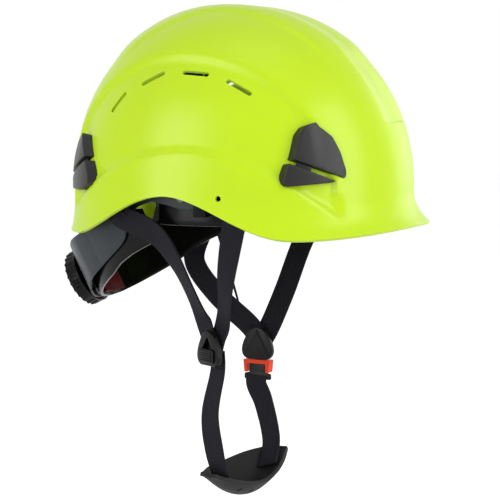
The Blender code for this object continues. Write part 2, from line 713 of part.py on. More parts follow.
def make_nape(finish, dark, accent, metal):
    cradle = bpy.data.objects.new("nape_cradle", None)
    cradle.location = at(0, *PIVOT)
    bpy.context.scene.collection.objects.link(cradle)
    add("nape_liner", nape_strip(mirrored(LINER), 0, LINER_THICKNESS), dark, cradle)
    add("ratchet_base", nape_strip(mirrored(HOUSING), *HOUSING_BASE), dark, cradle)
    cover_low, cover_high = COVER_LAYER
    cover = add("ratchet_cover", nape_strip(mirrored(HOUSING), cover_low, cover_high), finish, cradle)
    shaft_hole = wheel(SHAFT_RADIUS + GAP, cover_low - SHAFT_BITE, cover_high + SHAFT_BITE, 16)
    combine(cover, add("ratchet_cover_cutter", shaft_hole))
    for side, hand in ((-1, "right"), (1, "left")):
        wing = add(f"nape_wing_{hand}", wing_strip(side), finish, cradle)
        hole = disc(PIVOT_PIN_RADIUS + GAP, side * (HEAD_HALF_WIDTH - 0.004), side * 0.03, *PIVOT)
        combine(wing, add(f"nape_wing_{hand}_cutter", hole))
        length = PIN_INSET + WING_LAYER[1] + GAP + PIN_HEAD
        pin = disc(PIVOT_PIN_RADIUS, side * (HEAD_HALF_WIDTH - PIN_INSET), side * length, *PIVOT)
        add(f"nape_pivot_pin_{hand}", pin, metal)
    centre, outward, _ = nape_axes()
    knob_origin = centre + outward * cover_high
    knob_low = cover_high + KNOB_GAP
    knob_top = knob_low + KNOB_THICKNESS
    knob = wheel(KNOB_RADIUS, knob_low, knob_top, KNOB_RIBS, RIB_HEIGHT)
    knob = add("ratchet_knob", knob, dark, cradle, knob_origin)
    shaft = wheel(SHAFT_RADIUS, PINION_LAYER[1] + GAP, knob_low + SHAFT_BITE, 16)
    combine(knob, add("ratchet_knob_shaft", shaft), "UNION")
    screw = wheel(SCREW_RADIUS, knob_top + GAP, knob_top + GAP + SCREW_HEIGHT, 16)
    add("knob_screw", screw, metal, cradle, knob_origin)
    pinion = wheel(PINION_RADIUS - PINION_TOOTH, *PINION_LAYER, 12, PINION_TOOTH)
    add("ratchet_pinion", pinion, metal, cradle, knob_origin)
    hub = centre - outward * NAPE_RADIUS
    add("size_rack_left", rack(1), dark, cradle, hub)
    add("size_rack_right", rack(-1), dark, cradle, hub)
    insert = [(turn, INSERT_LOW, INSERT_HIGH) for turn in (-INSERT_TURN, 0, INSERT_TURN)]
    add("nape_insert", nape_strip(insert, -INSERT_DEPTH - GAP, -GAP), accent, cradle)
    for side, hand in ((-1, "right"), (1, "left")):
        add(f"nape_hanger_{hand}", hanger(side), dark, cradle)


# Chin harness


def strap(points, first_face, last_face):
    """Webbing along a smooth curve through its points. Its flat side turns from one direction to
    another on the way."""
    points = smoothed(points)
    sections = []
    for index, point in enumerate(points):
        face = first_face.lerp(last_face, ease(*FACE_TURN, index / (len(points) - 1)))
        ahead = points[min(index + 1, len(points) - 1)] - points[max(index - 1, 0)]
        wide = ahead.cross(face).normalized() * WEBBING_WIDTH / 2
        thick = wide.cross(ahead).normalized() * WEBBING / 2
        low, high = point - thick, point + thick
        sections.append((low - wide, low + wide, high + wide, high - wide))
    return ribbon(sections)


def smoothed(points, per_span=4):
    """Points of a Catmull-Rom curve through the given points."""
    padded = [points[0] * 2 - points[1], *points, points[-1] * 2 - points[-2]]
    curve = []
    for before, start, end, after in zip(padded, padded[1:], padded[2:], padded[3:]):
        for step in range(per_span):
            t = step / per_span
            curve.append(0.5 * (
                start * 2 + (end - before) * t
                + (before * 2 - start * 5 + end * 4 - after) * t * t
                + (start * 3 - before - end * 3 + after) * t * t * t
            ))
    return [*curve, points[-1]]


class Hanging:
    """The place of a divider and of what hangs on it: its centre, and its outward and forward directions."""

    def __init__(self, side, centre, turn):
        self.side = side
        self.centre = at(*centre)
        self.outward = at(side * math.cos(turn), -math.sin(turn), 0)
        self.forward = at(side * math.sin(turn), math.cos(turn), 0)
        self.face = self.outward * side

    def point(self, out, forward, up):
        return self.centre + self.outward * out + self.forward * forward + Vector((0, 0, up))

    def plate(self, outline, out, thickness):
        """A plate from an outline of forward and up, between two distances out from the middle."""
        return prism(outline, lambda a, b: self.point(out, a, b), self.outward * thickness)


RIGHT = Hanging(-1, DIVIDER_RIGHT, TURN_RIGHT)
LEFT = Hanging(1, DIVIDER_LEFT, TURN_LEFT)
BEHIND = DIVIDER_THICKNESS / 2 + GAP + WEBBING / 2


def box_outline(half_forward, low, high):
    return ((-half_forward, low), (half_forward, low), (half_forward, high), (-half_forward, high))


def make_divider(hand, hanging, finish, dark):
    inner = -DIVIDER_THICKNESS / 2
    divider = add(f"strap_divider_{hand}", hanging.plate(DIVIDER_OUTLINE, inner, DIVIDER_THICKNESS), finish)
    window = hanging.plate(WINDOW_OUTLINE, inner - 0.005, DIVIDER_THICKNESS + 0.01)
    combine(divider, add(f"strap_divider_{hand}_cutter", window))
    outer = DIVIDER_THICKNESS / 2 + GAP
    length, height, thickness = LOCK_SIZE
    lock = hanging.plate(box_outline(length / 2, LOCK_FOOT, LOCK_FOOT + height), outer, thickness)
    add(f"divider_lock_{hand}", lock, dark, None, hanging.point(outer, 0, LOCK_FOOT))


def make_straps(soft):
    """Front and rear straps run down to their divider: inside it on the right, outside it on the left."""
    near, far = RIGHT, LEFT
    routes = {
        "strap_front_right": (
            near, at(-0.0905, 0.0345, -0.028), at(-0.0790, 0.0240, -0.064),
            near.point(-BEHIND - 2.5 * STACK, 0.0060, 0.022), near.point(-BEHIND - STACK, 0.0020, 0.006),
            near.point(-BEHIND - STACK, 0.0005, 0.001),
        ),
        "strap_rear_right": (
            near, at(-0.0845, -0.0290, -0.032), at(-0.0755, -0.0155, -0.055),
            near.point(-BEHIND, -0.0160, 0.024), near.point(-BEHIND, -0.0050, 0.007),
            near.point(-BEHIND, -0.0025, 0.001),
        ),
        "strap_front_left": (
            far, at(0.0885, 0.0220, -0.046), at(0.0775, 0.0100, -0.086),
            far.point(BEHIND + 2.5 * STACK, 0.0080, 0.018), far.point(BEHIND + STACK, 0.0020, 0.005),
        ),
        "strap_rear_left": (
            far, at(0.0850, -0.0650, -0.042), at(0.0790, -0.0690, -0.067), at(0.0735, -0.0480, -0.092),
            far.point(BEHIND + 0.4 * STACK, -0.0115, 0.0165), far.point(BEHIND, -0.0035, 0.0080),
        ),
    }
    for name, (hanging, *route) in routes.items():
        turn = hanging.side * math.radians(dict(HOOKS)[name.split("_")[1]])
        wall = wall_point(turn, WALL_GAP + HOOK_DEPTH + GAP + HOOK_HOLLOW + WEBBING / 2)
        heights = (HOOK_HIGH, 0.7 * HOOK_LOW + 0.3 * HOOK_HIGH, HOOK_LOW - 0.003)
        hung = [wall + Vector((0, 0, height)) for height in heights]
        add(name, strap([*hung, *route], wall_inwards(turn) * -hanging.side, hanging.face), soft)


def cup_point(share, edge, depth=0.0):
    """A point of the cup: share along it from the wearer's right, edge from rear to front."""
    along = CUP_HALF_LENGTH * share
    aside = edge * CUP_HALF_WIDTH * (1 - 0.62 * abs(share) ** 2.2)
    wall = CUP_FRONT_WALL if edge > 0 else CUP_REAR_WALL
    up = CUP_FLOOR + CUP_TILT * along + CUP_RISE * abs(share) ** 1.8 + wall * edge ** 2 * (1 - share ** 2)
    slope = Vector((0, 2 * wall * abs(edge) * (1 - share ** 2) / CUP_HALF_WIDTH * math.copysign(1, edge), 1))
    slope.normalize()
    across = along * math.cos(CUP_TURN) - aside * math.sin(CUP_TURN)
    forward = CUP_FORWARD + along * math.sin(CUP_TURN) + aside * math.cos(CUP_TURN)
    return at(across, forward, up) + slope * depth


def make_cup(finish, swing):
    sections = []
    for step in range(13):
        share = -1 + step / 6
        lower = [cup_point(share, edge) for edge in CUP_EDGES]
        upper = [cup_point(share, edge, CUP_THICKNESS) for edge in CUP_EDGES[::-1]]
        sections.append(lower + upper)
    add("chin_cup", ribbon(sections), finish, swing)


def make_chin(soft, finish, dark, accent):
    make_divider("right", RIGHT, finish, dark)
    make_divider("left", LEFT, finish, dark)
    behind_straps = -BEHIND - 2 * STACK
    swing = bpy.data.objects.new("chin_swing", None)
    swing.location = RIGHT.point(behind_straps, 0, CHIN_HINGE)
    bpy.context.scene.collection.objects.link(swing)
    make_cup(dark, swing)
    outwards = at(math.cos(CUP_TURN), math.sin(CUP_TURN), 0)
    seats = [cup_point(share, edge) + Vector((0, 0, height)) for share, edge, height in CUP_SEATS]
    right = (
        RIGHT.point(behind_straps, 0, 0), RIGHT.point(behind_straps, 0, -0.016), at(-0.0530, 0.0010, -0.166),
        at(-0.0440, 0.0005, -0.196), seats[0],
    )
    add("chin_strap_right", strap(right, RIGHT.face, outwards), soft, swing)
    behind_tongue = -TONGUE_THICKNESS / 2 - GAP - WEBBING / 2
    left = (
        LEFT.point(behind_tongue, 0, TONGUE_LOW + 0.0035), LEFT.point(behind_tongue, 0, TONGUE_LOW - 0.004),
        at(0.0535, 0.0010, -0.174), at(0.0375, 0.0135, -0.199), seats[1],
    )
    add("chin_strap_left", strap(left, LEFT.face, outwards), soft, swing)
    half, wide = TONGUE_HALF_WIDTHS
    outline = (
        (-half, BUCKLE_TOP), (-half, TONGUE_LOW + 0.0055), (-wide, TONGUE_LOW + 0.0045), (-wide, TONGUE_LOW),
        (wide, TONGUE_LOW), (wide, TONGUE_LOW + 0.0045), (half, TONGUE_LOW + 0.0055), (half, BUCKLE_TOP),
    )
    add("buckle_tongue", LEFT.plate(outline, -TONGUE_THICKNESS / 2, TONGUE_THICKNESS), dark, swing)
    foot, leg = BUCKLE_TOP - LATCH_HEIGHT, LATCH_HALF_WIDTH - LATCH_LEG
    latch_outline = (
        (-LATCH_HALF_WIDTH, BUCKLE_TOP), (LATCH_HALF_WIDTH, BUCKLE_TOP), (LATCH_HALF_WIDTH - 0.001, foot),
        (leg, foot), (leg, BUCKLE_TOP - LATCH_BAR), (-leg, BUCKLE_TOP - LATCH_BAR), (-leg, foot),
        (-LATCH_HALF_WIDTH + 0.001, foot),
    )
    latch_low, latch_deep = LATCH_LAYER
    latch = LEFT.plate(latch_outline, latch_low, latch_deep)
    latch = add("buckle_latch", latch, accent, None, LEFT.point(0, 0, BUCKLE_TOP))
    slot = box_outline(half + GAP, BUCKLE_TOP - LATCH_BAR - 0.002, BUCKLE_TOP + 0.002)
    slot = LEFT.plate(slot, -TONGUE_THICKNESS / 2 - 3 * GAP, LATCH_SLOT)
    combine(latch, add("buckle_latch_cutter", slot))


clear_scene()
LIME = finish_of("lime_plastic", (0.55, 0.78, 0.01), 0.3)
CLIP_BLACK = finish_of("clip_black", (0.02, 0.02, 0.02), 0.6)
SLATE = finish_of("slate_plastic", (0.10, 0.12, 0.13), 0.35)
BLACK = finish_of("black_plastic", (0.015, 0.015, 0.015), 0.3)
DARK_GREY = finish_of("cup_rubber", (0.05, 0.05, 0.05), 0.6)
ORANGE = finish_of("orange_plastic", (0.85, 0.10, 0.03), 0.4)
WEB = finish_of("webbing", (0.03, 0.03, 0.035), 0.9)
FOAM = finish_of("foam", (0.06, 0.06, 0.06), 0.9)
STEEL = finish_of("pin_steel", (0.5, 0.5, 0.5), 0.35, 1.0)
cut_openings(make_shell(LIME))
make_clips(CLIP_BLACK)
make_anchors(BLACK)
make_cradle(WEB)
make_headband(BLACK, FOAM)
make_nape(SLATE, BLACK, ORANGE, STEEL)
make_straps(WEB)
make_chin(WEB, BLACK, DARK_GREY, ORANGE)
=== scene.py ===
# %% [markdown]
# # The looks of an arborist's helmet
# A climbing helmet is a moulded shell with a webbing cradle inside it, a ratchet band round the nape
# and a chin harness that hangs from four hooks. The working parts are already modelled as a frame
# of plain solids that move on their joints. This lesson dresses that frame: each visible part
# gets a finer shape and a finish of its own, and rides on the part of the frame that it covers.

import math

import bmesh
import bpy
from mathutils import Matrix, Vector


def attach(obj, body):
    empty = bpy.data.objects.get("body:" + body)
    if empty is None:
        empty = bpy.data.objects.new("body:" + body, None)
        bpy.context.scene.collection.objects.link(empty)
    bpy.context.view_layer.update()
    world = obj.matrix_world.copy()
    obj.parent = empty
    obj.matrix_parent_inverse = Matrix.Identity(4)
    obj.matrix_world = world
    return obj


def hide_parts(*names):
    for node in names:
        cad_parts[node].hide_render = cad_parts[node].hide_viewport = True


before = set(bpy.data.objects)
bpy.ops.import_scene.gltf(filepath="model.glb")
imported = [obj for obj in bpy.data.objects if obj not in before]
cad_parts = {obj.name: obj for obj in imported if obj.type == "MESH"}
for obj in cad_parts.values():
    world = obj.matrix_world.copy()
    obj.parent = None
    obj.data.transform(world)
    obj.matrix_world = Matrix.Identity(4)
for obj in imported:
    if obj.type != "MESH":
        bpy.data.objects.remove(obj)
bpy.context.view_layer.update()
print("nodes:", len(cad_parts))

# %% [markdown]
# ## Camera, floor and light
# The helmet is seen from the wearer's right and a little from the front, almost level with its
# rim. A long lens keeps the proportions calm. Broad soft lamps suit glossy plastic, because each
# lamp shows in it as one wide soft band. The floor is seen by the camera as plain white, so the
# outline of the helmet stays easy to read.

# %% Camera
AZIMUTH, ELEVATION = math.radians(-68), math.radians(5)
TARGET = Vector((0, -0.011, -0.0493))
DISTANCE = 1.45
SENSOR, LENS = 36, 138.96


def direction(azimuth, elevation):
    """The unit vector from the target towards a viewer at these angles, 0 being the front."""
    level = math.cos(elevation)
    return Vector((math.sin(azimuth) * level, -math.cos(azimuth) * level, math.sin(elevation)))


camera = bpy.data.objects.new("camera", bpy.data.cameras.new("camera"))
bpy.context.scene.collection.objects.link(camera)
bpy.context.scene.camera = camera
towards_viewer = direction(AZIMUTH, ELEVATION)
camera.location = TARGET + towards_viewer * DISTANCE
camera.rotation_euler = towards_viewer.to_track_quat("Z", "Y").to_euler()
camera.data.sensor_width = SENSOR
camera.data.lens = LENS
camera.data.clip_end = 50
bpy.context.scene.view_settings.view_transform = "Standard"
print("camera", round(DISTANCE, 2), "m from the helmet")

# %% Lamps
# name, azimuth, elevation, distance, width, height, watts
LAMPS = (
    ("front_right", -14, 16, 1.5, 0.8, 1.4, 13),
    ("rear_right", -118, 12, 1.5, 0.7, 1.3, 11),
    ("overhead", -70, 78, 1.5, 0.8, 0.8, 1.5),
    ("left_fill", 60, 15, 1.8, 1.0, 1.2, 5),
    ("low_fill", -70, -22, 1.6, 1.4, 0.6, 3),
)
for name, azimuth, elevation, distance, width, height, watts in LAMPS:
    lamp = bpy.data.lights.new(name, "AREA")
    lamp.shape = "RECTANGLE"
    lamp.size, lamp.size_y, lamp.energy = width, height, watts
    stand = bpy.data.objects.new(name, lamp)
    bpy.context.scene.collection.objects.link(stand)
    facing = direction(math.radians(azimuth), math.radians(elevation))
    stand.location = facing * distance
    stand.rotation_euler = facing.to_track_quat("Z", "Y").to_euler()
print(len(LAMPS), "lamps")


# %% White for the eye, plain light for the helmet
def node(tree, kind, **settings):
    """A new node with its attributes set, and its input values where the name is an input's."""
    made = tree.nodes.new(kind)
    for key, value in settings.items():
        if key in made.inputs:
            made.inputs[key].default_value = value
        else:
            setattr(made, key, value)
    return made


def seen_directly(tree):
    """1 for rays that show the surroundings: from the camera, off gloss, or through glass."""
    light_path = node(tree, "ShaderNodeLightPath")
    add_one = node(tree, "ShaderNodeMath", operation="MAXIMUM")
    add_two = node(tree, "ShaderNodeMath", operation="MAXIMUM")
    tree.links.new(light_path.outputs["Is Camera Ray"], add_one.inputs[0])
    tree.links.new(light_path.outputs["Is Glossy Ray"], add_one.inputs[1])
    tree.links.new(add_one.outputs[0], add_two.inputs[0])
    tree.links.new(light_path.outputs["Is Transmission Ray"], add_two.inputs[1])
    return add_two.outputs[0]


WORLD_ON_HELMET, WORLD_SEEN = 0.40, 1.0
world = bpy.data.worlds.new("studio")
bpy.context.scene.world = world
world.use_nodes = True
tree = world.node_tree
around = tree.nodes["Background"]
around.inputs["Color"].default_value = (1, 1, 1, 1)
brightness = node(tree, "ShaderNodeMapRange")
brightness.inputs["To Min"].default_value = WORLD_ON_HELMET
brightness.inputs["To Max"].default_value = WORLD_SEEN
tree.links.new(seen_directly(tree), brightness.inputs["Value"])
tree.links.new(brightness.outputs[0], around.inputs["Strength"])

# %% Floor
FLOOR_LEVEL, FLOOR_RADIUS, FLOOR_GLOW = -0.262, 6, 0.62
PAPER_GREY, PAPER_ROUGHNESS = 0.8, 0.9
bm = bmesh.new()
bmesh.ops.create_circle(bm, cap_ends=True, segments=64, radius=FLOOR_RADIUS)
bmesh.ops.translate(bm, verts=bm.verts, vec=(0, 0, FLOOR_LEVEL))
floor_mesh = bpy.data.meshes.new("floor")
bm.to_mesh(floor_mesh)
bm.free()
floor = bpy.data.objects.new("floor", floor_mesh)
bpy.context.scene.collection.objects.link(floor)
paper = bpy.data.materials.new("pale_paper")
paper.use_nodes = True
tree = paper.node_tree
shader = tree.nodes["Principled BSDF"]
shader.inputs["Base Color"].default_value = (PAPER_GREY, PAPER_GREY, PAPER_GREY, 1)
shader.inputs["Roughness"].default_value = PAPER_ROUGHNESS
shader.inputs["Emission Color"].default_value = (1, 1, 1, 1)
glow = node(tree, "ShaderNodeMath", operation="MULTIPLY")
glow.inputs[1].default_value = FLOOR_GLOW
tree.links.new(seen_directly(tree), glow.inputs[0])
tree.links.new(glow.outputs[0], shader.inputs["Emission Strength"])
floor_mesh.materials.append(paper)
print("floor at", FLOOR_LEVEL)

# %% [markdown]
# ## Shared effects
# Moulded plastic is never quite even: its skin has a fine grain, handling leaves faint rubbed
# places, and its colour drifts a little. Webbing has ribs and picks. Each of these effects is
# needed by several finishes, so each is a node group that is built once. The groups give out
# only masks and heights, and the finish decides what to do with them.


# %% A helper that starts a node group
def new_group(name, inputs, outputs):
    """A shader node group with float or vector sockets, and its two end nodes."""
    group = bpy.data.node_groups.new(name, "ShaderNodeTree")
    for label, kind, value in inputs:
        socket = group.interface.new_socket(label, in_out="INPUT", socket_type=kind)
        if value is not None:
            socket.default_value = value
    for label in outputs:
        group.interface.new_socket(label, in_out="OUTPUT", socket_type="NodeSocketFloat")
    return group, group.nodes.new("NodeGroupInput"), group.nodes.new("NodeGroupOutput")


FLOAT, VECTOR = "NodeSocketFloat", "NodeSocketVector"

# %% Moulded skin: grain, drift and rub marks
SKIN, start, end = new_group(
    "moulded_skin",
    [("Grain Scale", FLOAT, 900.0), ("Drift Scale", FLOAT, 14.0), ("Rub Scale", FLOAT, 60.0)],
    ["Grain", "Drift", "Rub"],
)
place = node(SKIN, "ShaderNodeTexCoord")
grain = node(SKIN, "ShaderNodeTexNoise", Detail=2.0)
drift = node(SKIN, "ShaderNodeTexNoise", Detail=3.0)
rub = node(SKIN, "ShaderNodeTexNoise", Detail=6.0, Roughness=0.7)
rub_edge = node(SKIN, "ShaderNodeMapRange")
rub_edge.inputs["From Min"].default_value = 0.56
rub_edge.inputs["From Max"].default_value = 0.72
for noise, label in ((grain, "Grain Scale"), (drift, "Drift Scale"), (rub, "Rub Scale")):
    SKIN.links.new(place.outputs["Object"], noise.inputs["Vector"])
    SKIN.links.new(start.outputs[label], noise.inputs["Scale"])
SKIN.links.new(rub.outputs["Fac"], rub_edge.inputs["Value"])
SKIN.links.new(grain.outputs["Fac"], end.inputs["Grain"])
SKIN.links.new(drift.outputs["Fac"], end.inputs["Drift"])
SKIN.links.new(rub_edge.outputs[0], end.inputs["Rub"])

# %% Weave: lengthwise ribs crossed by picks, on a strip's own measure in metres
WEAVE, start, end = new_group(
    "webbing_weave",
    [("Measure", VECTOR, None), ("Rib Pitch", FLOAT, 0.0012), ("Pick Pitch", FLOAT, 0.0011)],
    ["Height", "Thread Rise And Painted Shade"],
)


def wave_along(axis, pitch_label, phase=0.0):
    """A sine of the distance along one axis, one wave to each pitch."""
    split = node(WEAVE, "ShaderNodeSeparateXYZ")
    share = node(WEAVE, "ShaderNodeMath", operation="DIVIDE")
    turn = node(WEAVE, "ShaderNodeMath", operation="MULTIPLY_ADD")
    turn.inputs[1].default_value = math.tau
    turn.inputs[2].default_value = phase
    wave = node(WEAVE, "ShaderNodeMath", operation="SINE")
    WEAVE.links.new(start.outputs["Measure"], split.inputs[0])
    WEAVE.links.new(split.outputs[axis], share.inputs[0])
    WEAVE.links.new(start.outputs[pitch_label], share.inputs[1])
    WEAVE.links.new(share.outputs[0], turn.inputs[0])
    WEAVE.links.new(turn.outputs[0], wave.inputs[0])
    return wave.outputs[0]


ribs = wave_along("X", "Rib Pitch")
picks = wave_along("Y", "Pick Pitch")
crossing = node(WEAVE, "ShaderNodeMath", operation="MULTIPLY")
lifted = node(WEAVE, "ShaderNodeMath", operation="MULTIPLY_ADD")
lifted.inputs[1].default_value = 0.35
lifted.inputs[2].default_value = 0.5
total = node(WEAVE, "ShaderNodeMath", operation="MULTIPLY_ADD")
total.inputs[1].default_value = 0.2
WEAVE.links.new(ribs, crossing.inputs[0])
WEAVE.links.new(picks, crossing.inputs[1])
WEAVE.links.new(crossing.outputs[0], lifted.inputs[0])
WEAVE.links.new(ribs, total.inputs[0])
WEAVE.links.new(lifted.outputs[0], total.inputs[2])
WEAVE.links.new(total.outputs[0], end.inputs["Height"])
# This mask is high on the raised threads. The cloth darkens its colour where the mask is low, which is
# painted shade in the hollows of the weave.
WEAVE.links.new(lifted.outputs[0], end.inputs["Thread Rise And Painted Shade"])
print("groups:", [group.name for group in bpy.data.node_groups])

# %% [markdown]
# ## Finishes
# The shell is a glossy high-visibility plastic. The nape wings are satin, the buckles and the
# liner half gloss, the lamp clips coarsely grained, and the chin cup soft and matte. One
# function makes all of these plastics, because they differ only in numbers.


# %% Plastics
def shade_range(tree, mask, low, high):
    """A mask stretched to the range between two values."""
    stretch = node(tree, "ShaderNodeMapRange")
    stretch.inputs["To Min"].default_value = low
    stretch.inputs["To Max"].default_value = high
    tree.links.new(mask, stretch.inputs["Value"])
    return stretch.outputs[0]


def colour_between(tree, mask, first, second):
    mix = node(tree, "ShaderNodeMix", data_type="RGBA")
    for socket in mix.inputs:
        if socket.type == "RGBA":
            socket.default_value = (*(first if socket.name == "A" else second), 1)
    tree.links.new(mask, mix.inputs["Factor"])
    return next(socket for socket in mix.outputs if socket.type == "RGBA")


def plastic(name, colour, other, rough, grain, specular=0.3, scales=(900, 14, 60)):
    """A moulded plastic whose colour drifts between two shades, with grain and faint rubbed places.
    The grain is given as the depth of the bumps in metres."""
    finish = bpy.data.materials.new(name)
    finish.use_nodes = True
    tree = finish.node_tree
    shader = tree.nodes["Principled BSDF"]
    skin = node(tree, "ShaderNodeGroup", node_tree=SKIN)
    for label, value in zip(("Grain Scale", "Drift Scale", "Rub Scale"), scales):
        skin.inputs[label].default_value = value
    base = colour_between(tree, skin.outputs["Drift"], colour, other)
    tree.links.new(base, shader.inputs["Base Color"])
    roughness = shade_range(tree, skin.outputs["Rub"], rough[0], rough[1])
    tree.links.new(roughness, shader.inputs["Roughness"])
    bump = node(tree, "ShaderNodeBump", Strength=0.6, Distance=grain)
    tree.links.new(skin.outputs["Grain"], bump.inputs["Height"])
    tree.links.new(bump.outputs["Normal"], shader.inputs["Normal"])
    shader.inputs["Specular IOR Level"].default_value = specular
    return finish


LIME = plastic(
    "lime_shell", (0.52, 0.76, 0.006), (0.56, 0.79, 0.010), (0.30, 0.36), 0.00002, 0.35, (500, 9, 45)
)
SLATE = plastic(
    "slate_wing", (0.024, 0.030, 0.034), (0.032, 0.039, 0.044), (0.36, 0.46), 0.00003, 0.2
)
GLOSS_BLACK = plastic(
    "black_acetal", (0.0020, 0.0020, 0.0022), (0.004, 0.004, 0.004), (0.20, 0.30), 0.00002, 0.12
)
SATIN_BLACK = plastic(
    "black_divider", (0.004, 0.004, 0.0045), (0.007, 0.007, 0.0075), (0.34, 0.44), 0.00004, 0.15
)
CLIP_BLACK = plastic(
    "black_clip", (0.004, 0.004, 0.0045), (0.010, 0.010, 0.0105), (0.38, 0.48), 0.00012, 0.35, (1500, 40, 90)
)
CUP_GREY = plastic(
    "grey_cup", (0.014, 0.014, 0.015), (0.021, 0.021, 0.022), (0.55, 0.66), 0.00008, 0.15, (1300, 30, 70)
)
ORANGE = plastic(
    "orange_latch", (0.74, 0.036, 0.004), (0.80, 0.050, 0.006), (0.32, 0.42), 0.00003, 0.15
)
RED = plastic(
    "red_insert", (0.070, 0.002, 0.004), (0.110, 0.003, 0.006), (0.40, 0.50), 0.00005, 0.15
)
print("plastics made")

# %% Steel for the pivot pins and the screw
STEEL = plastic(
    "turned_steel", (0.52, 0.52, 0.52), (0.62, 0.62, 0.61), (0.28, 0.42), 0.00003, 0.5, (2200, 60, 300)
)
BLUED_STEEL = plastic(
    "blued_steel", (0.040, 0.042, 0.046), (0.060, 0.062, 0.068), (0.30, 0.45), 0.00003, 0.5, (2200, 60, 300)
)
for metal in (STEEL, BLUED_STEEL):
    metal.node_tree.nodes["Principled BSDF"].inputs["Metallic"].default_value = 1.0


# %% [markdown]
# ## Webbing and foam
# Polyester webbing is ribbed along its length and crossed by picks, so the weave has to follow
# the strap wherever it turns. Each strap therefore carries a map of its own in metres: across in
# U and along in V. Foam covers are knitted, and a plain pattern in space is enough for them.


# %% Cloth finishes
def cloth(name, colour, other, rib, pick, depth, mapped=True):
    """A woven or knitted cloth, on the strip's own measure or on the space round the piece, with shade
    painted into its colour in the hollows between the threads.
    """
    finish = bpy.data.materials.new(name)
    finish.use_nodes = True
    tree = finish.node_tree
    shader = tree.nodes["Principled BSDF"]
    place = node(tree, "ShaderNodeTexCoord")
    weave = node(tree, "ShaderNodeGroup", node_tree=WEAVE)
    weave.inputs["Rib Pitch"].default_value = rib
    weave.inputs["Pick Pitch"].default_value = pick
    skin = node(tree, "ShaderNodeGroup", node_tree=SKIN)
    tree.links.new(place.outputs["UV" if mapped else "Object"], weave.inputs["Measure"])
    # The colour is darker where the threads sit low and lighter on the raised thread tops, which is painted
    # shade of the weave's hollows, times a random drift of tone.
    painted_shade_and_drift = node(tree, "ShaderNodeMath", operation="MULTIPLY")
    tree.links.new(weave.outputs["Thread Rise And Painted Shade"], painted_shade_and_drift.inputs[0])
    tree.links.new(shade_range(tree, skin.outputs["Drift"], 0.6, 1.4), painted_shade_and_drift.inputs[1])
    tree.links.new(colour_between(tree, painted_shade_and_drift.outputs[0], colour, other), shader.inputs["Base Color"])
    tree.links.new(shade_range(tree, weave.outputs["Thread Rise And Painted Shade"], 0.92, 0.72), shader.inputs["Roughness"])
    bump = node(tree, "ShaderNodeBump", Strength=0.8, Distance=depth)
    tree.links.new(weave.outputs["Height"], bump.inputs["Height"])
    tree.links.new(bump.outputs["Normal"], shader.inputs["Normal"])
    shader.inputs["Specular IOR Level"].default_value = 0.12
    shader.inputs["Sheen Weight"].default_value = 0.02
    shader.inputs["Sheen Roughness"].default_value = 0.4
    return finish


# In both cloths the first colour is painted shade for the hollows between the threads, and the second is the
# cloth's colour on the raised threads.
WEBBING = cloth("black_webbing", (0.004, 0.004, 0.006), (0.026, 0.025, 0.033), 0.0017, 0.0013, 0.00035)
KNIT = cloth("knitted_cover", (0.005, 0.005, 0.006), (0.018, 0.018, 0.020), 0.0016, 0.0014, 0.0003, False)

# %% [markdown]
# ## Helpers for shaping
# Most pieces follow the same path: a bmesh is shaped in a flat workspace where bevels and cuts
# behave well, and is then laid onto its real place. A live modifier may finish it, and is
# turned into plain mesh at once, so that what the piece is made of is settled here.


# %% Turning a bmesh into a piece of the helmet
SMOOTH_ANGLE = math.radians(38)


def piece(name, bm, finish, body, nodes=(), recalculate=True):
    """The bmesh as an object that rides on a body of the frame and stands for some of its nodes."""
    if recalculate:
        bmesh.ops.recalc_face_normals(bm, faces=bm.faces)
    mesh = bpy.data.meshes.new(name)
    bm.to_mesh(mesh)
    bm.free()
    mesh.materials.append(finish)
    obj = bpy.data.objects.new(name, mesh)
    bpy.context.scene.collection.objects.link(obj)
    smooth(obj)
    if body:
        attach(obj, body)
    if nodes:
        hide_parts(*nodes)
    return obj


def smooth(obj):
    obj.data.shade_smooth()
    obj.data.set_sharp_from_angle(angle=SMOOTH_ANGLE)


def freeze(obj):
    """Turns the object's modifiers into plain mesh."""
    graph = bpy.context.evaluated_depsgraph_get()
    mesh = bpy.data.meshes.new_from_object(obj.evaluated_get(graph))
    obj.modifiers.clear()
    obj.data = mesh
    smooth(obj)
    return obj


def rounded(obj, width, segments=3, angle=40):
    """Rounds the sharp edges of a piece."""
    bevel = obj.modifiers.new("rounding", "BEVEL")
    bevel.width = width
    bevel.segments = segments
    bevel.limit_method = "ANGLE"
    bevel.angle_limit = math.radians(angle)
    bevel.harden_normals = False
    return freeze(obj)


def thickened(obj, thickness, offset):
    solidify = obj.modifiers.new("wall", "SOLIDIFY")
    solidify.thickness = thickness
    solidify.offset = offset
    solidify.use_even_offset = True
    return freeze(obj)


def cut(obj, *tools):
    """Cuts bmesh tools out of a piece."""
    for number, bm in enumerate(tools):
        cutter = piece(f"{obj.name}_tool_{number}", bm, obj.data.materials[0], None)
        boolean = obj.modifiers.new("cut", "BOOLEAN")
        boolean.operation = "DIFFERENCE"
        boolean.solver = "EXACT"
        boolean.object = cutter
        freeze(obj)
        bpy.data.objects.remove(cutter)
    return obj


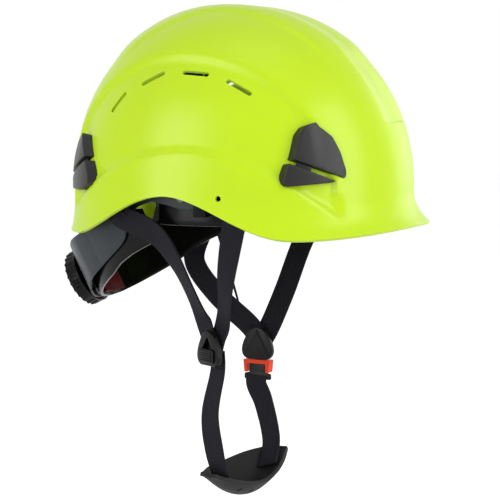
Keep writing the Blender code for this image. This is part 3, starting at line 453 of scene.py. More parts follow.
# %% Flat slabs
def slab(outline, low, high, corner=0.0, edge=0.0, both=False, trims=()):
    """A slab from a flat outline, its corners rounded in plan and its upper edge rounded off.
    Each trim is a point and a direction: what lies beyond that line is cut away."""
    bm = bmesh.new()
    bm.faces.new([bm.verts.new((u, v, low)) for u, v in outline])
    if corner:
        bmesh.ops.bevel(
            bm, geom=bm.verts[:], offset=corner, segments=5, profile=0.5, affect="VERTICES", material=-1
        )
    for through, beyond in trims:
        everything = bm.verts[:] + bm.edges[:] + bm.faces[:]
        bmesh.ops.bisect_plane(
            bm, geom=everything, plane_co=(*through, low), plane_no=(*beyond, 0), clear_outer=True
        )
    grown = bmesh.ops.extrude_face_region(bm, geom=bm.faces[:], use_keep_orig=True)
    top = [item for item in grown["geom"] if isinstance(item, bmesh.types.BMVert)]
    bmesh.ops.translate(bm, verts=top, vec=(0, 0, high - low))
    if edge:
        middle = (low + high) / 2
        rims = [
            e for e in bm.edges
            if abs(e.verts[0].co.z - e.verts[1].co.z) < 1e-6 and (both or e.verts[0].co.z > middle)
        ]
        bmesh.ops.bevel(bm, geom=rims, offset=edge, segments=3, profile=0.5, affect="EDGES", material=-1)
    bmesh.ops.recalc_face_normals(bm, faces=bm.faces)
    return bm


def sliced(bm, pitch):
    """Cuts a flat slab into small squares, so that it can bend."""
    for axis, direction_of_cut in ((0, (1, 0, 0)), (1, (0, 1, 0))):
        places = [vert.co[axis] for vert in bm.verts]
        steps = int((max(places) - min(places)) / pitch)
        for step in range(1, steps + 1):
            through = Vector((0, 0, 0))
            through[axis] = min(places) + pitch * step
            everything = bm.verts[:] + bm.edges[:] + bm.faces[:]
            bmesh.ops.bisect_plane(bm, geom=everything, plane_co=through, plane_no=direction_of_cut)
    return bm


def laid(bm, place):
    """Moves each vertex from the flat workspace to its real place."""
    for vert in bm.verts:
        vert.co = place(*vert.co)
    return bm


def merged(*bms):
    """Several bmeshes in one."""
    whole = bmesh.new()
    for bm in bms:
        mesh = bpy.data.meshes.new("part")
        bm.to_mesh(mesh)
        bm.free()
        whole.from_mesh(mesh)
        bpy.data.meshes.remove(mesh)
    return whole


def oval(width, height, centre=(0, 0), steps=24):
    """A slot or circle outline in the flat workspace, long in u when the width is the larger."""
    radius = min(width, height) / 2
    reach_u, reach_v = width / 2 - radius, height / 2 - radius
    points = []
    for step in range(steps):
        turn = math.tau * (step + 0.5) / steps
        u, v = math.cos(turn), math.sin(turn)
        points.append((
            centre[0] + radius * u + math.copysign(reach_u, u),
            centre[1] + radius * v + math.copysign(reach_v, v),
        ))
    return points


def at(across, forward, up):
    """A point from its distance to the wearer's left, forward of the origin, and up."""
    return Vector((across, -forward, up))


def ease(low, high, value):
    share = min(max((value - low) / (high - low), 0.0), 1.0)
    return share * share * (3 - 2 * share)


# %% [markdown]
# ## The shell
# The dome is a rounded box in all three directions, which mathematicians call a superellipsoid:
# slightly fuller than an egg. Its rim dips at the brow and the nape and arches over the ears, and
# the peak flares forward. Sunk side panels, a raised crest and a trough with a sharp
# crease are moulded into it. A sphere is drawn onto the dome point by point, cut where the
# trough has a hard edge, and then every point is pushed in or out by the height of the moulding.

# %% Sizes of the dome
FRONT, REAR, HALF_WIDTH, HEIGHT = 0.1345, 0.1225, 0.108, 0.134
PLAN_POWER, DOME_POWER = 2.1, 2.07
WALL = 0.0028
SEGMENTS, DOME_RINGS, SKIRT_RINGS = 288, 72, 20
RINGS = DOME_RINGS + SKIRT_RINGS
RIM_FRONT, RIM_BROW, RIM_EAR, RIM_NAPE = -0.025, -0.033, -0.0035, -0.034
BROW_ANGLE, EAR_ANGLE, NAPE_ANGLE = (math.radians(a) for a in (50, 96, 145))
SIDE_FLARE, PEAK_FLARE, NAPE_FLARE, FLARE_HEIGHT = 0.0015, 0.011, 0.0015, 0.022
PANEL_DEPTH, PANEL_BEVEL, PANEL_TOP, PANEL_CENTRE = 0.0035, 0.007, 0.098, -0.012
PANEL_FRONT, PANEL_REAR = 0.116, 0.100
PANEL_ENDS = (math.radians(31), math.radians(153))
LEDGE_TOP, LEDGE_DROP = 0.026, 4.1
CREST_HEIGHT, CREST_HALF_WIDTH = 0.0018, 0.034
TROUGH_DEPTH, TROUGH_HALF_WIDTH, TROUGH_FOOT = 0.0035, 0.022, 0.048


# %% The plain dome
def plan_radius(angle):
    length = FRONT if math.cos(angle) > 0 else REAR
    along = abs(math.cos(angle) / length) ** PLAN_POWER
    across = abs(math.sin(angle) / HALF_WIDTH) ** PLAN_POWER
    return (along + across) ** (-1 / PLAN_POWER)


def rim_height(angle):
    side = abs(math.remainder(angle, math.tau))
    height = RIM_FRONT + (RIM_BROW - RIM_FRONT) * ease(0, BROW_ANGLE, side)
    height += (RIM_EAR - RIM_BROW) * ease(BROW_ANGLE, EAR_ANGLE, side)
    return height + (RIM_NAPE - RIM_EAR) * ease(EAR_ANGLE, NAPE_ANGLE, side)


def dome_level(point):
    """Below 0 inside the plain dome, 0 on it and above 0 outside."""
    length = FRONT if point.y < 0 else REAR
    plan = abs(point.x / HALF_WIDTH) ** PLAN_POWER + abs(point.y / length) ** PLAN_POWER
    return plan ** (DOME_POWER / PLAN_POWER) + (max(point.z, 0) / HEIGHT) ** DOME_POWER - 1


def dome_normal(point):
    """The outward direction of the plain dome at a point on it."""
    step = 1e-5
    here = dome_level(point)
    return Vector([
        dome_level(point + Vector((step * (axis == 0), step * (axis == 1), step * (axis == 2)))) - here
        for axis in range(3)
    ]).normalized()


def flare(point):
    """How far the skirt stands out at a point: most at the peak."""
    angle = math.atan2(point.x, -point.y)
    reach = SIDE_FLARE + PEAK_FLARE * max(math.cos(angle), 0) ** 2
    reach += NAPE_FLARE * max(-math.cos(angle), 0)
    below = min(max((rim_height(angle) + FLARE_HEIGHT - point.z) / FLARE_HEIGHT, 0), 1)
    return Vector((math.sin(angle), -math.cos(angle), 0)) * reach * below ** 2


# %% The moulding on it
def panel_share(across, forward, up):
    length = PANEL_FRONT if forward > PANEL_CENTRE else PANEL_REAR
    arch = PANEL_TOP * math.sqrt(max(1 - ((forward - PANEL_CENTRE) / length) ** 2, 0))
    ledge = LEDGE_TOP - LEDGE_DROP * forward ** 2
    side = math.atan2(abs(across), forward)
    share = ease(0, PANEL_BEVEL, arch - up) * ease(0, PANEL_BEVEL, up - ledge)
    share *= ease(PANEL_ENDS[0], PANEL_ENDS[0] + 0.07, side)
    return share * ease(PANEL_ENDS[1], PANEL_ENDS[1] - 0.07, side)


def moulding(point):
    """The height of the moulded features over the plain dome."""
    across, forward, up = point.x, -point.y, point.z
    edge = CREST_HALF_WIDTH + 0.09 * max(forward, 0) + 0.35 * max(-0.007 - forward, 0)
    crest = CREST_HEIGHT * ease(edge + 0.004, edge - 0.004, abs(across)) * ease(0.088, 0.106, up)
    trough = TROUGH_DEPTH * max(1 - abs(across) / TROUGH_HALF_WIDTH, 0)
    trough *= ease(TROUGH_FOOT - 0.0007, TROUGH_FOOT + 0.0007, up)
    return crest - trough - PANEL_DEPTH * panel_share(across, forward, up)


# %% Draw the sphere onto the dome
bm = bmesh.new()
bmesh.ops.create_uvsphere(bm, u_segments=SEGMENTS, v_segments=RINGS + 1, radius=1)
foot = min(bm.verts, key=lambda vert: vert.co.z)
bmesh.ops.delete(bm, geom=[foot], context="VERTS")
for vert in bm.verts:
    ring = round(math.acos(min(max(vert.co.z, -1), 1)) * (RINGS + 1) / math.pi)
    angle = math.atan2(vert.co.x, -vert.co.y) if ring else 0.0
    turn = math.pi / 2 * min(ring / DOME_RINGS, 1)
    radius = plan_radius(angle) * math.sin(turn) ** (2 / DOME_POWER)
    up = HEIGHT * max(math.cos(turn), 0) ** (2 / DOME_POWER)
    if ring > DOME_RINGS:
        up = rim_height(angle) * (ring - DOME_RINGS) / SKIRT_RINGS
    vert.co = at(radius * math.sin(angle), radius * math.cos(angle), up)
print("dome points:", len(bm.verts))

# %% Cut it where the trough has hard edges, then push the moulding in and out
CREASES = (
    ((0, 0, TROUGH_FOOT - 0.0007), (0, 0, 1)), ((0, 0, TROUGH_FOOT + 0.0007), (0, 0, 1)),
    ((TROUGH_HALF_WIDTH, 0, 0), (1, 0, 0)), ((-TROUGH_HALF_WIDTH, 0, 0), (1, 0, 0)),
)
for through, across_cut in CREASES:
    everything = bm.verts[:] + bm.edges[:] + bm.faces[:]
    bmesh.ops.bisect_plane(bm, geom=everything, dist=1e-5, plane_co=through, plane_no=across_cut)
for vert in bm.verts:
    plain = vert.co.copy()
    vert.co = plain + flare(plain) + dome_normal(plain) * moulding(plain)
shell = piece("helmet_shell", bm, LIME, "root", ["shell"])
thickened(shell, WALL, -1)
rounded(shell, 0.0009, 3, 50)
print("shell faces:", len(shell.data.polygons))

# %% Vents and visor holes
# The two ends of each slot on the wearer's left; the right side is its mirror image.
VENTS = (
    ((0.0812, -0.0661, 0.0577), (0.0808, -0.0566, 0.0693)),
    ((0.0837, -0.0393, 0.0772), (0.0832, -0.0245, 0.0843)),
    ((0.0850, -0.0058, 0.0849), (0.0857, 0.0114, 0.0835)),
    ((0.0863, 0.0292, 0.0786), (0.0868, 0.0453, 0.0702)),
)
VENT_WIDTH = 0.0035
VISOR_HOLE, VISOR_HOLE_SIZE = (0.1058, 0.0298, -0.0045), 0.004


def vent_tool(start, end, side):
    start, end = at(start[0] * side, *start[1:]), at(end[0] * side, *end[1:])
    middle = (start + end) / 2
    along = (end - start).normalized()
    outwards = Vector((middle.x, middle.y, middle.z * 0.6)).normalized()
    outwards = (outwards - along * outwards.dot(along)).normalized()
    upwards = outwards.cross(along)
    outline = oval((end - start).length + VENT_WIDTH, VENT_WIDTH)
    return laid(
        slab(outline, -0.012, 0.012), lambda u, v, h: middle + along * u + upwards * v + outwards * h
    )


for side in (-1, 1):
    across, forward, up = VISOR_HOLE
    hole = laid(
        slab(oval(VISOR_HOLE_SIZE, VISOR_HOLE_SIZE), -0.02, 0.02),
        lambda u, v, h: at(side * (across + h), forward + u, up + v),
    )
    cut(shell, *[vent_tool(start, end, side) for start, end in VENTS], hole)
print("shell faces with its vents:", len(shell.data.polygons))

# %% [markdown]
# ## Lamp clips
# Four black clips hold the strap of a head lamp: a pad above, a small triangle below, and a
# sloping channel between them that the strap runs through. They are grained and
# stand a few millimetres proud of the sunk panel. Each is cut from a flat slab, rounded there,
# sliced into small squares and laid onto the dome like a sticker.

# %% Outlines of the clips, along the dome and up
FRONT_CLIP = (
    (0.0176, 0.0481), (0.0102, 0.0460), (0.0055, 0.0405), (0.0003, 0.0227), (-0.0033, 0.0192),
    (-0.0076, 0.0075), (-0.0056, 0.0040), (0.0298, 0.0065), (0.0413, 0.0097), (0.0422, 0.0139),
    (0.0381, 0.0278), (0.0328, 0.0383), (0.0259, 0.0439),
)
REAR_CLIP = (
    (0.0112, 0.0385), (0.0008, 0.0236), (-0.0060, 0.0129), (-0.0081, 0.0036), (0.0047, -0.0021),
    (0.0396, -0.0024), (0.0420, 0.0060), (0.0360, 0.0220), (0.0280, 0.0340), (0.0200, 0.0390),
)
CLIP_BASE, CLIP_TOP, BRIDGE_TOP = -0.0034, 0.0015, -0.0006
CHANNEL_START, CHANNEL_END, CHANNEL_WIDTH = Vector((-0.012, 0.0250)), Vector((0.042, 0.0070)), 0.0036
BRIDGE = (0.0070, 0.0180)
FLANK_SEARCH, FLANK_FADE, FLANK_LEAN, FLANK_LIFT = 0.0180, 0.012, 0.0036, 0.0016


def between(stations, value):
    """The row of a table at a value of its first column, in straight steps between the rows given."""
    for before, after in zip(stations, stations[1:]):
        if value <= after[0] or after is stations[-1]:
            share = min(max((value - before[0]) / max(after[0] - before[0], 1e-9), 0), 1)
            return [first + (last - first) * share for first, last in zip(before[1:], after[1:])]


def dome_place(side, centre_angle):
    """How a flat point (along, up, height) is laid onto the dome at an angle from the front."""
    radial = at(side * math.sin(centre_angle), math.cos(centre_angle), 0)
    way = math.copysign(1, math.cos(centre_angle))
    tangent = at(-side * way * math.cos(centre_angle), way * math.sin(centre_angle), 0)

    def place(along, up, height):
        near, far = 0.03, 0.2
        for _ in range(24):
            reach = (near + far) / 2
            point = radial * reach + tangent * along + Vector((0, 0, up))
            near, far = (reach, far) if dome_level(point) < 0 else (near, reach)
        return point + dome_normal(point) * height

    return place


def flanked(bm, outline):
    """Leans the clip's inner side over and lifts the top there, as the mould's draft does."""
    inner_side = sorted((v, u) for u, v in outline if u < FLANK_SEARCH)
    for vert in bm.verts:
        if vert.co.z > BRIDGE_TOP:
            edge = between(inner_side, vert.co.y)[0]
            near = 1 - ease(0, FLANK_FADE, vert.co.x - edge)
            vert.co.x += FLANK_LEAN * near
            vert.co.z += FLANK_LIFT * near
    return bm


def lamp_clip(name, side, centre_degrees, outline):
    """A clip in three parts that touch: the pad, the triangle and the bridge across the channel."""
    down_the_channel = (CHANNEL_END - CHANNEL_START).normalized()
    upwards = Vector((-down_the_channel.y, down_the_channel.x))
    above = CHANNEL_START + upwards * CHANNEL_WIDTH / 2
    below = CHANNEL_START - upwards * CHANNEL_WIDTH / 2
    pad = slab(outline, CLIP_BASE, CLIP_TOP, 0.0016, 0.0007, trims=[(above, -upwards)])
    triangle = slab(outline, CLIP_BASE, CLIP_TOP, 0.0016, 0.0007, trims=[(below, upwards)])
    bridge_outline = [
        CHANNEL_START + down_the_channel * (along - CHANNEL_START.x) + upwards * rise
        for along, rise in ((BRIDGE[0], -0.003), (BRIDGE[1], -0.003), (BRIDGE[1], 0.003), (BRIDGE[0], 0.003))
    ]
    bridge = slab(bridge_outline, CLIP_BASE, BRIDGE_TOP, 0, 0.0003)
    place = dome_place(side, math.radians(centre_degrees))
    sloped = (flanked(pad, outline), flanked(triangle, outline), bridge)
    parts = [laid(sliced(part, 0.003), place) for part in sloped]
    return piece(name, merged(*parts), CLIP_BLACK, "root", [name])


for side, hand in ((-1, "right"), (1, "left")):
    for end_of_shell, degrees, outline in (("front", 50, FRONT_CLIP), ("rear", 135, REAR_CLIP)):
        clip = lamp_clip(f"lamp_clip_{end_of_shell}_{hand}", side, degrees, outline)
        clip.name = f"clip_{end_of_shell}_{hand}"
print("clip faces:", len(clip.data.polygons))

# %% [markdown]
# ## Webbing straps
# Four straps hang from hooks in the shell and meet in pairs at the dividers, and two more
# run on to the chin cup. A strap is a long grid that is laid along a smooth curve while its face
# turns from one direction to another, and then given its thickness. The grid carries its own
# measure in metres, which is what the weave follows.

# %% A strap along a curve
STRAP_WIDTH, STRAP_THICKNESS = 0.0175, 0.0014
FACE_TURN = (0.3, 0.7)


def smoothed(points, per_span=9):
    """Points of a Catmull-Rom curve through the given points."""
    padded = [points[0] * 2 - points[1], *points, points[-1] * 2 - points[-2]]
    curve = []
    for before, first, last, after in zip(padded, padded[1:], padded[2:], padded[3:]):
        for step in range(per_span):
            t = step / per_span
            curve.append(0.5 * (
                first * 2 + (last - before) * t
                + (before * 2 - first * 5 + last * 4 - after) * t * t
                + (first * 3 - before - last * 3 + after) * t * t * t
            ))
    return [*curve, points[-1]]


def band(name, curve, faces, body, width, thickness):
    """Webbing along the points of a curve, its flat side towards the direction given at each."""
    travelled = [0.0]
    for before, after in zip(curve, curve[1:]):
        travelled.append(travelled[-1] + (after - before).length)
    rows, columns = len(curve) - 1, 8
    bm = bmesh.new()
    measure = bm.loops.layers.uv.new("measure")
    bmesh.ops.create_grid(bm, x_segments=columns, y_segments=rows, size=0.5)
    for face in bm.faces:
        for loop in face.loops:
            row = round((loop.vert.co.y + 0.5) * rows)
            loop[measure].uv = (loop.vert.co.x * width, travelled[row])
    for vert in bm.verts:
        row = round((vert.co.y + 0.5) * rows)
        ahead = curve[min(row + 1, rows)] - curve[max(row - 1, 0)]
        vert.co = curve[row] + ahead.cross(faces[row]).normalized() * vert.co.x * width
    obj = piece(name.replace("strap", "webbing"), bm, WEBBING, body, [name])
    thickened(obj, thickness, 0)
    return rounded(obj, thickness * 0.32, 2, 50)


def strap(name, points, first_face, last_face, body):
    """A harness strap through some points, its face turning from one direction to another."""
    curve = smoothed(points)
    last = len(curve) - 1
    faces = [first_face.lerp(last_face, ease(*FACE_TURN, step / last)) for step in range(last + 1)]
    return band(name, curve, faces, body, STRAP_WIDTH, STRAP_THICKNESS)


# %% Where the dividers hang
GAP = 0.0003
STACK = 0.0019
DIVIDER_THICKNESS = 0.0045
BEHIND = DIVIDER_THICKNESS / 2 + GAP + 0.0008


class Hanging:
    """The place of a divider and of what hangs on it: its centre and its outward and forward directions."""

    def __init__(self, side, centre, turn):
        self.side = side
        self.centre = at(*centre)
        self.outward = at(side * math.cos(turn), -math.sin(turn), 0)
        self.forward = at(side * math.sin(turn), math.cos(turn), 0)
        self.face = self.outward * side

    def point(self, out, forward, up):
        return self.centre + self.outward * out + self.forward * forward + Vector((0, 0, up))

    def place(self, forward, up, out):
        return self.point(out, forward, up)


RIGHT = Hanging(-1, (-0.0612, 0.0040, -0.1180), math.radians(33))
LEFT = Hanging(1, (0.0612, -0.0070, -0.1300), math.radians(-6))

# %% The four harness straps
HUNG_FRONT = ((0.0961, 0.03817), (0.9766, -0.2149))
HUNG_REAR = ((0.08933, -0.05486), (0.9159, 0.4014))
HUNG_LEVELS = (-0.001, -0.0115, -0.019)
ROUTES = {
    "strap_front_right": (
        RIGHT, HUNG_FRONT, at(-0.0905, 0.0345, -0.028), at(-0.0790, 0.0240, -0.064),
        RIGHT.point(-BEHIND - 2.5 * STACK, 0.0060, 0.022), RIGHT.point(-BEHIND - STACK, 0.0020, 0.006),
        RIGHT.point(-BEHIND - STACK, 0.0005, 0.001),
    ),
    "strap_rear_right": (
        RIGHT, HUNG_REAR, at(-0.0845, -0.0290, -0.032), at(-0.0755, -0.0155, -0.055),
        RIGHT.point(-BEHIND, -0.0160, 0.024), RIGHT.point(-BEHIND, -0.0050, 0.007),
        RIGHT.point(-BEHIND, -0.0025, 0.001),
    ),
    "strap_front_left": (
        LEFT, HUNG_FRONT, at(0.0885, 0.0220, -0.046), at(0.0775, 0.0100, -0.086),
        LEFT.point(BEHIND + 2.5 * STACK, 0.0080, 0.018), LEFT.point(BEHIND + STACK, 0.0020, 0.005),
    ),
    "strap_rear_left": (
        LEFT, HUNG_REAR, at(0.0850, -0.0650, -0.042), at(0.0790, -0.0690, -0.067),
        at(0.0735, -0.0480, -0.092), LEFT.point(BEHIND + 0.4 * STACK, -0.0115, 0.0165),
        LEFT.point(BEHIND, -0.0035, 0.0080),
    ),
}
for name, (hanging, ((across, forward), (face_x, face_y)), *route) in ROUTES.items():
    hung = [at(hanging.side * across, forward, level) for level in HUNG_LEVELS]
    facing = Vector((face_x, hanging.side * face_y, 0))
    made = strap(name, [*hung, *route], facing, hanging.face, "root")
print("strap faces:", len(made.data.polygons))

# %% [markdown]
# ## Dividers
# A divider is a small rounded triangle of black plastic in which the front and rear straps
# meet. Its outer side has a window that shows the webbing and a ribbed flap that locks it. Its
# inner side has a raised triangle. The same moulding serves both sides of the helmet.

# %% Divider shapes, forward and up from the middle
DIVIDER_OUTLINE = (
    (0.0, 0.0155), (0.0075, 0.0120), (0.0130, 0.0010), (0.0140, -0.0060), (0.0105, -0.0110),
    (-0.0105, -0.0110), (-0.0140, -0.0060), (-0.0130, 0.0010), (-0.0075, 0.0120),
)
WINDOW_OUTLINE = ((0.0, 0.0105), (0.0070, 0.0005), (-0.0070, 0.0005))
FACET_OUTLINE = ((0.0, 0.0128), (0.0118, -0.0085), (-0.0118, -0.0085))
LOCK_LENGTH, LOCK_HEIGHT, LOCK_THICKNESS, LOCK_FOOT = 0.0190, 0.0100, 0.0022, -0.0085
LOCK_RIBS, RIB_SHARE, RIB_WIDTH = 5, 0.8, 0.0009


def divider(hand, hanging):
    half = DIVIDER_THICKNESS / 2
    plate = slab(DIVIDER_OUTLINE, -half, half, 0.0028, 0.0010, True)
    name = f"strap_divider_{hand}"
    obj = piece(name, laid(plate, hanging.place), SATIN_BLACK, "root", [name])
    obj.name = f"divider_{hand}"
    if hanging is RIGHT:
        cut(obj, laid(slab(WINDOW_OUTLINE, -0.006, 0.006, 0.0012), hanging.place))
    return obj


def lock_flap(hand, hanging):
    """The flap that pinches the webbing, with ribs for the thumb."""
    out = DIVIDER_THICKNESS / 2 + GAP
    half = LOCK_LENGTH / 2
    low, high = LOCK_FOOT, LOCK_FOOT + LOCK_HEIGHT
    outline = ((-half, low), (half, low), (half, high), (-half, high))
    parts = [slab(outline, out, out + LOCK_THICKNESS * 0.65, 0.0018, 0.0005, True)]
    for rib in range(LOCK_RIBS):
        up = low + LOCK_HEIGHT * (rib + 1) / (LOCK_RIBS + 1)
        outline = oval(LOCK_LENGTH * RIB_SHARE, RIB_WIDTH, (0, up), 12)
        parts.append(slab(outline, out + LOCK_THICKNESS * 0.5, out + LOCK_THICKNESS, 0, 0.0002))
    name = f"divider_lock_{hand}"
    bm = laid(merged(*parts), hanging.place)
    obj = piece(name, bm, SATIN_BLACK, f"lock_{hand}", [name])
    obj.name = f"lock_flap_{hand}"
    return obj


for hand, hanging in (("right", RIGHT), ("left", LEFT)):
    divider(hand, hanging)
    lock_flap(hand, hanging)
facet = slab(FACET_OUTLINE, DIVIDER_THICKNESS / 2 - 0.0005, DIVIDER_THICKNESS / 2 + 0.0009, 0.0012, 0.0007)
facet = laid(facet, lambda forward, up, out: LEFT.point(-out, forward, up))
piece("divider_facet_left", facet, SATIN_BLACK, "root")

# %% [markdown]
# ## Buckle and chin cup
# The left strap is fastened by a buckle: an orange latch shaped like an upside-down U holds a black
# tongue with a lug at each lower corner. The chin cup is a soft moulding with a low front wall, a
# high rear wall, round drain holes and narrow slots.

# %% The latch and the tongue
BUCKLE_TOP = -0.0113
LATCH_HALF, LATCH_HEIGHT, LATCH_BAR, LATCH_LEG = 0.0115, 0.0100, 0.0030, 0.0035
TONGUE_HALF, TONGUE_WIDE, TONGUE_LOW, TONGUE_THICKNESS = 0.0070, 0.0115, -0.0270, 0.0024
LATCH_INSIDE, LATCH_OUTSIDE = -0.0030, 0.0045
foot, leg = BUCKLE_TOP - LATCH_HEIGHT, LATCH_HALF - LATCH_LEG
latch_outline = (
    (-LATCH_HALF, BUCKLE_TOP), (LATCH_HALF, BUCKLE_TOP), (LATCH_HALF - 0.001, foot), (leg, foot),
    (leg, BUCKLE_TOP - LATCH_BAR), (-leg, BUCKLE_TOP - LATCH_BAR), (-leg, foot), (-LATCH_HALF + 0.001, foot),
)
bm = laid(slab(latch_outline, LATCH_INSIDE, LATCH_OUTSIDE, 0.0007), LEFT.place)
latch = piece("latch_u", bm, ORANGE, "latch", ["buckle_latch"])
slot_outline = ((-0.0073, BUCKLE_TOP - 0.005), (0.0073, BUCKLE_TOP - 0.005), (0.0073, 0), (-0.0073, 0))
cut(latch, laid(slab(slot_outline, -0.0021, 0.0040), LEFT.place))
rounded(latch, 0.0005, 2, 50)
tongue_outline = (
    (-TONGUE_HALF, BUCKLE_TOP), (-TONGUE_HALF, TONGUE_LOW + 0.0055), (-TONGUE_WIDE, TONGUE_LOW + 0.0045),
    (-TONGUE_WIDE, TONGUE_LOW), (TONGUE_WIDE, TONGUE_LOW), (TONGUE_WIDE, TONGUE_LOW + 0.0045),
    (TONGUE_HALF, TONGUE_LOW + 0.0055), (TONGUE_HALF, BUCKLE_TOP),
)
bm = slab(tongue_outline, -TONGUE_THICKNESS / 2, TONGUE_THICKNESS / 2, 0.0009, 0.0005, True)
bm = laid(bm, LEFT.place)
piece("tongue_plate", bm, SATIN_BLACK, "chin_loop", ["buckle_tongue"])
print("latch faces:", len(latch.data.polygons))

# %% The cup's curve
CUP_HALF_LENGTH, CUP_FLOOR, CUP_RISE, CUP_TILT, CUP_HALF_WIDTH = 0.047, -0.2350, 0.024, 0.08, 0.019
CUP_THICKNESS, CUP_FORWARD, CUP_TURN = 0.0030, 0.007, math.radians(14)
CUP_FRONT_WALL, CUP_REAR_WALL = 0.011, 0.024
CUP_SEATS = ((-0.70, 0.12, 0.0084), (0.50, 0.22, 0.0090))
CUP_COLUMNS, CUP_ROWS = 64, 36


def cup_point(share, edge, depth=0.0):
    """A point of the cup: share along it from the wearer's right, edge from rear to front."""
    along = CUP_HALF_LENGTH * share
    aside = edge * CUP_HALF_WIDTH * (1 - 0.62 * abs(share) ** 2.2)
    wall = CUP_FRONT_WALL if edge > 0 else CUP_REAR_WALL
    up = CUP_FLOOR + CUP_TILT * along + CUP_RISE * abs(share) ** 1.8 + wall * edge ** 2 * (1 - share ** 2)
    tilt = 2 * wall * abs(edge) * (1 - share ** 2) / CUP_HALF_WIDTH * math.copysign(1, edge)
    slope = Vector((0, tilt, 1)).normalized()
    across = along * math.cos(CUP_TURN) - aside * math.sin(CUP_TURN)
    forward = CUP_FORWARD + along * math.sin(CUP_TURN) + aside * math.cos(CUP_TURN)
    return at(across, forward, up) + slope * depth


# %% The cup, its holes and its slots
bm = bmesh.new()
bmesh.ops.create_grid(bm, x_segments=CUP_COLUMNS, y_segments=CUP_ROWS, size=1)
for vert in bm.verts:
    vert.co = cup_point(vert.co.x, vert.co.y, 0.0)
cup = piece("cup_moulding", bm, CUP_GREY, "chin_loop", ["chin_cup"])
thickened(cup, CUP_THICKNESS, 1 if cup.data.polygons[0].normal.z > 0 else -1)
rounded(cup, 0.0008, 3, 50)
HOLES = ((-0.42, -0.62), (-0.14, -0.68), (0.14, -0.68), (0.42, -0.62))
SLOTS = ((0.20, 0.62), (0.46, 0.62), (-0.20, 0.62), (-0.46, 0.62))
for share, edge in HOLES + SLOTS:
    middle = cup_point(share, edge)
    through = cup_point(share, edge, 0.01) - middle
    outline = oval(0.0042, 0.0042) if (share, edge) in HOLES else oval(0.0018, 0.0058)
    through.normalize()
    sideways = Vector((1, 0, 0)).cross(through).cross(through).normalized()
    upwards = through.cross(sideways)
    tool = laid(
        slab(outline, -0.006, 0.008), lambda u, v, h: middle + sideways * u + upwards * v + through * h
    )
    cut(cup, tool)
print("cup faces:", len(cup.data.polygons))

# %% The chin straps
behind_straps = -BEHIND - 2 * STACK
outwards = at(math.cos(CUP_TURN), math.sin(CUP_TURN), 0)
seats = [cup_point(share, edge) + Vector((0, 0, height)) for share, edge, height in CUP_SEATS]
strap("chin_strap_right", [
    RIGHT.point(behind_straps, 0, 0), RIGHT.point(behind_straps, 0, -0.016), at(-0.0530, 0.0010, -0.166),
    at(-0.0440, 0.0005, -0.196), seats[0],
], RIGHT.face, outwards, "chin_loop")
behind_tongue = -TONGUE_THICKNESS / 2 - GAP - 0.0008
strap("chin_strap_left", [
    LEFT.point(behind_tongue, 0, TONGUE_LOW + 0.0035), LEFT.point(behind_tongue, 0, TONGUE_LOW - 0.004),
    at(0.0535, 0.0010, -0.174), at(0.0375, 0.0135, -0.199), seats[1],
], LEFT.face, outwards, "chin_loop")

# %% [markdown]
# ## Nape cradle
# The nape cradle is two thin layers that hang from a pivot at each temple and lean back by 27
# degrees: a black liner next to the head, and a grey wing on each side of the ratchet housing.
# A wide knob turns a pinion that draws the two toothed racks together. All of it follows
# one leaning surface, so strips are made in a flat workspace and laid onto that.

# %% The leaning surface
HEAD_HALF_WIDTH = 0.079
NAPE_LEAN = math.radians(27)
NAPE_CENTRE = at(0, -0.114, -0.068)
NAPE_DEPTH = 0.117
NAPE_OUT = at(0, -math.cos(NAPE_LEAN), -math.sin(NAPE_LEAN))
NAPE_UP = at(0, -math.sin(NAPE_LEAN), math.cos(NAPE_LEAN))
PIVOT = (-0.008, -0.006)


def nape_place(degrees, height, out, further=0.0):
    """A point on the nape surface: degrees from the nape, up its lean, and out from the head."""
    turn = math.radians(degrees)
    across = (HEAD_HALF_WIDTH + out) * math.sin(turn)
    depth = NAPE_DEPTH * (1 - math.cos(turn)) - out * math.cos(turn) + further
    return NAPE_CENTRE + Vector((across, 0, 0)) - NAPE_OUT * depth + NAPE_UP * height


# %% Strips on it
def nape_strip(name, stations, inner, outer, finish, nodes, columns=90, rows=8, edge=0.0004):
    """A strip between two distances from the head. Each station is an angle, a low and a high edge,
    and what is added to the distances there."""
    first, last = stations[0][0], stations[-1][0]
    bm = bmesh.new()
    bmesh.ops.create_grid(bm, x_segments=columns, y_segments=rows, size=1)
    for vert in bm.verts:
        degrees = first + (last - first) * (vert.co.x + 1) / 2
        low, high, extra = between(stations, degrees)
        vert.co = nape_place(degrees, low + (high - low) * (vert.co.y + 1) / 2, inner + extra)
    obj = piece(name, bm, finish, "nape_cradle", nodes)
    outwards = obj.data.polygons[len(obj.data.polygons) // 2].normal.dot(NAPE_OUT) > 0
    thickened(obj, outer - inner, 1 if outwards else -1)
    return rounded(obj, edge, 2, 50)


LINER = (
    (0, -0.0220, 0.0190), (12, -0.0215, 0.0190), (24, -0.0200, 0.0195), (36, -0.0180, 0.0200),
    (47, -0.0157, 0.0200), (55, -0.0120, 0.0200), (63, -0.0107, 0.0200), (70, -0.0108, 0.0190),
    (76, -0.0112, 0.0150),
)
HOUSING = (
    (0, -0.0200, 0.0205), (5.5, -0.0200, 0.0206), (11, -0.0193, 0.0209), (16.5, -0.0178, 0.0215),
    (22, -0.0156, 0.0226),
)


def both_sides(stations):
    left = [(-degrees, low, high, 0.0) for degrees, low, high in stations[:0:-1]]
    return left + [(*station, 0.0) for station in stations]


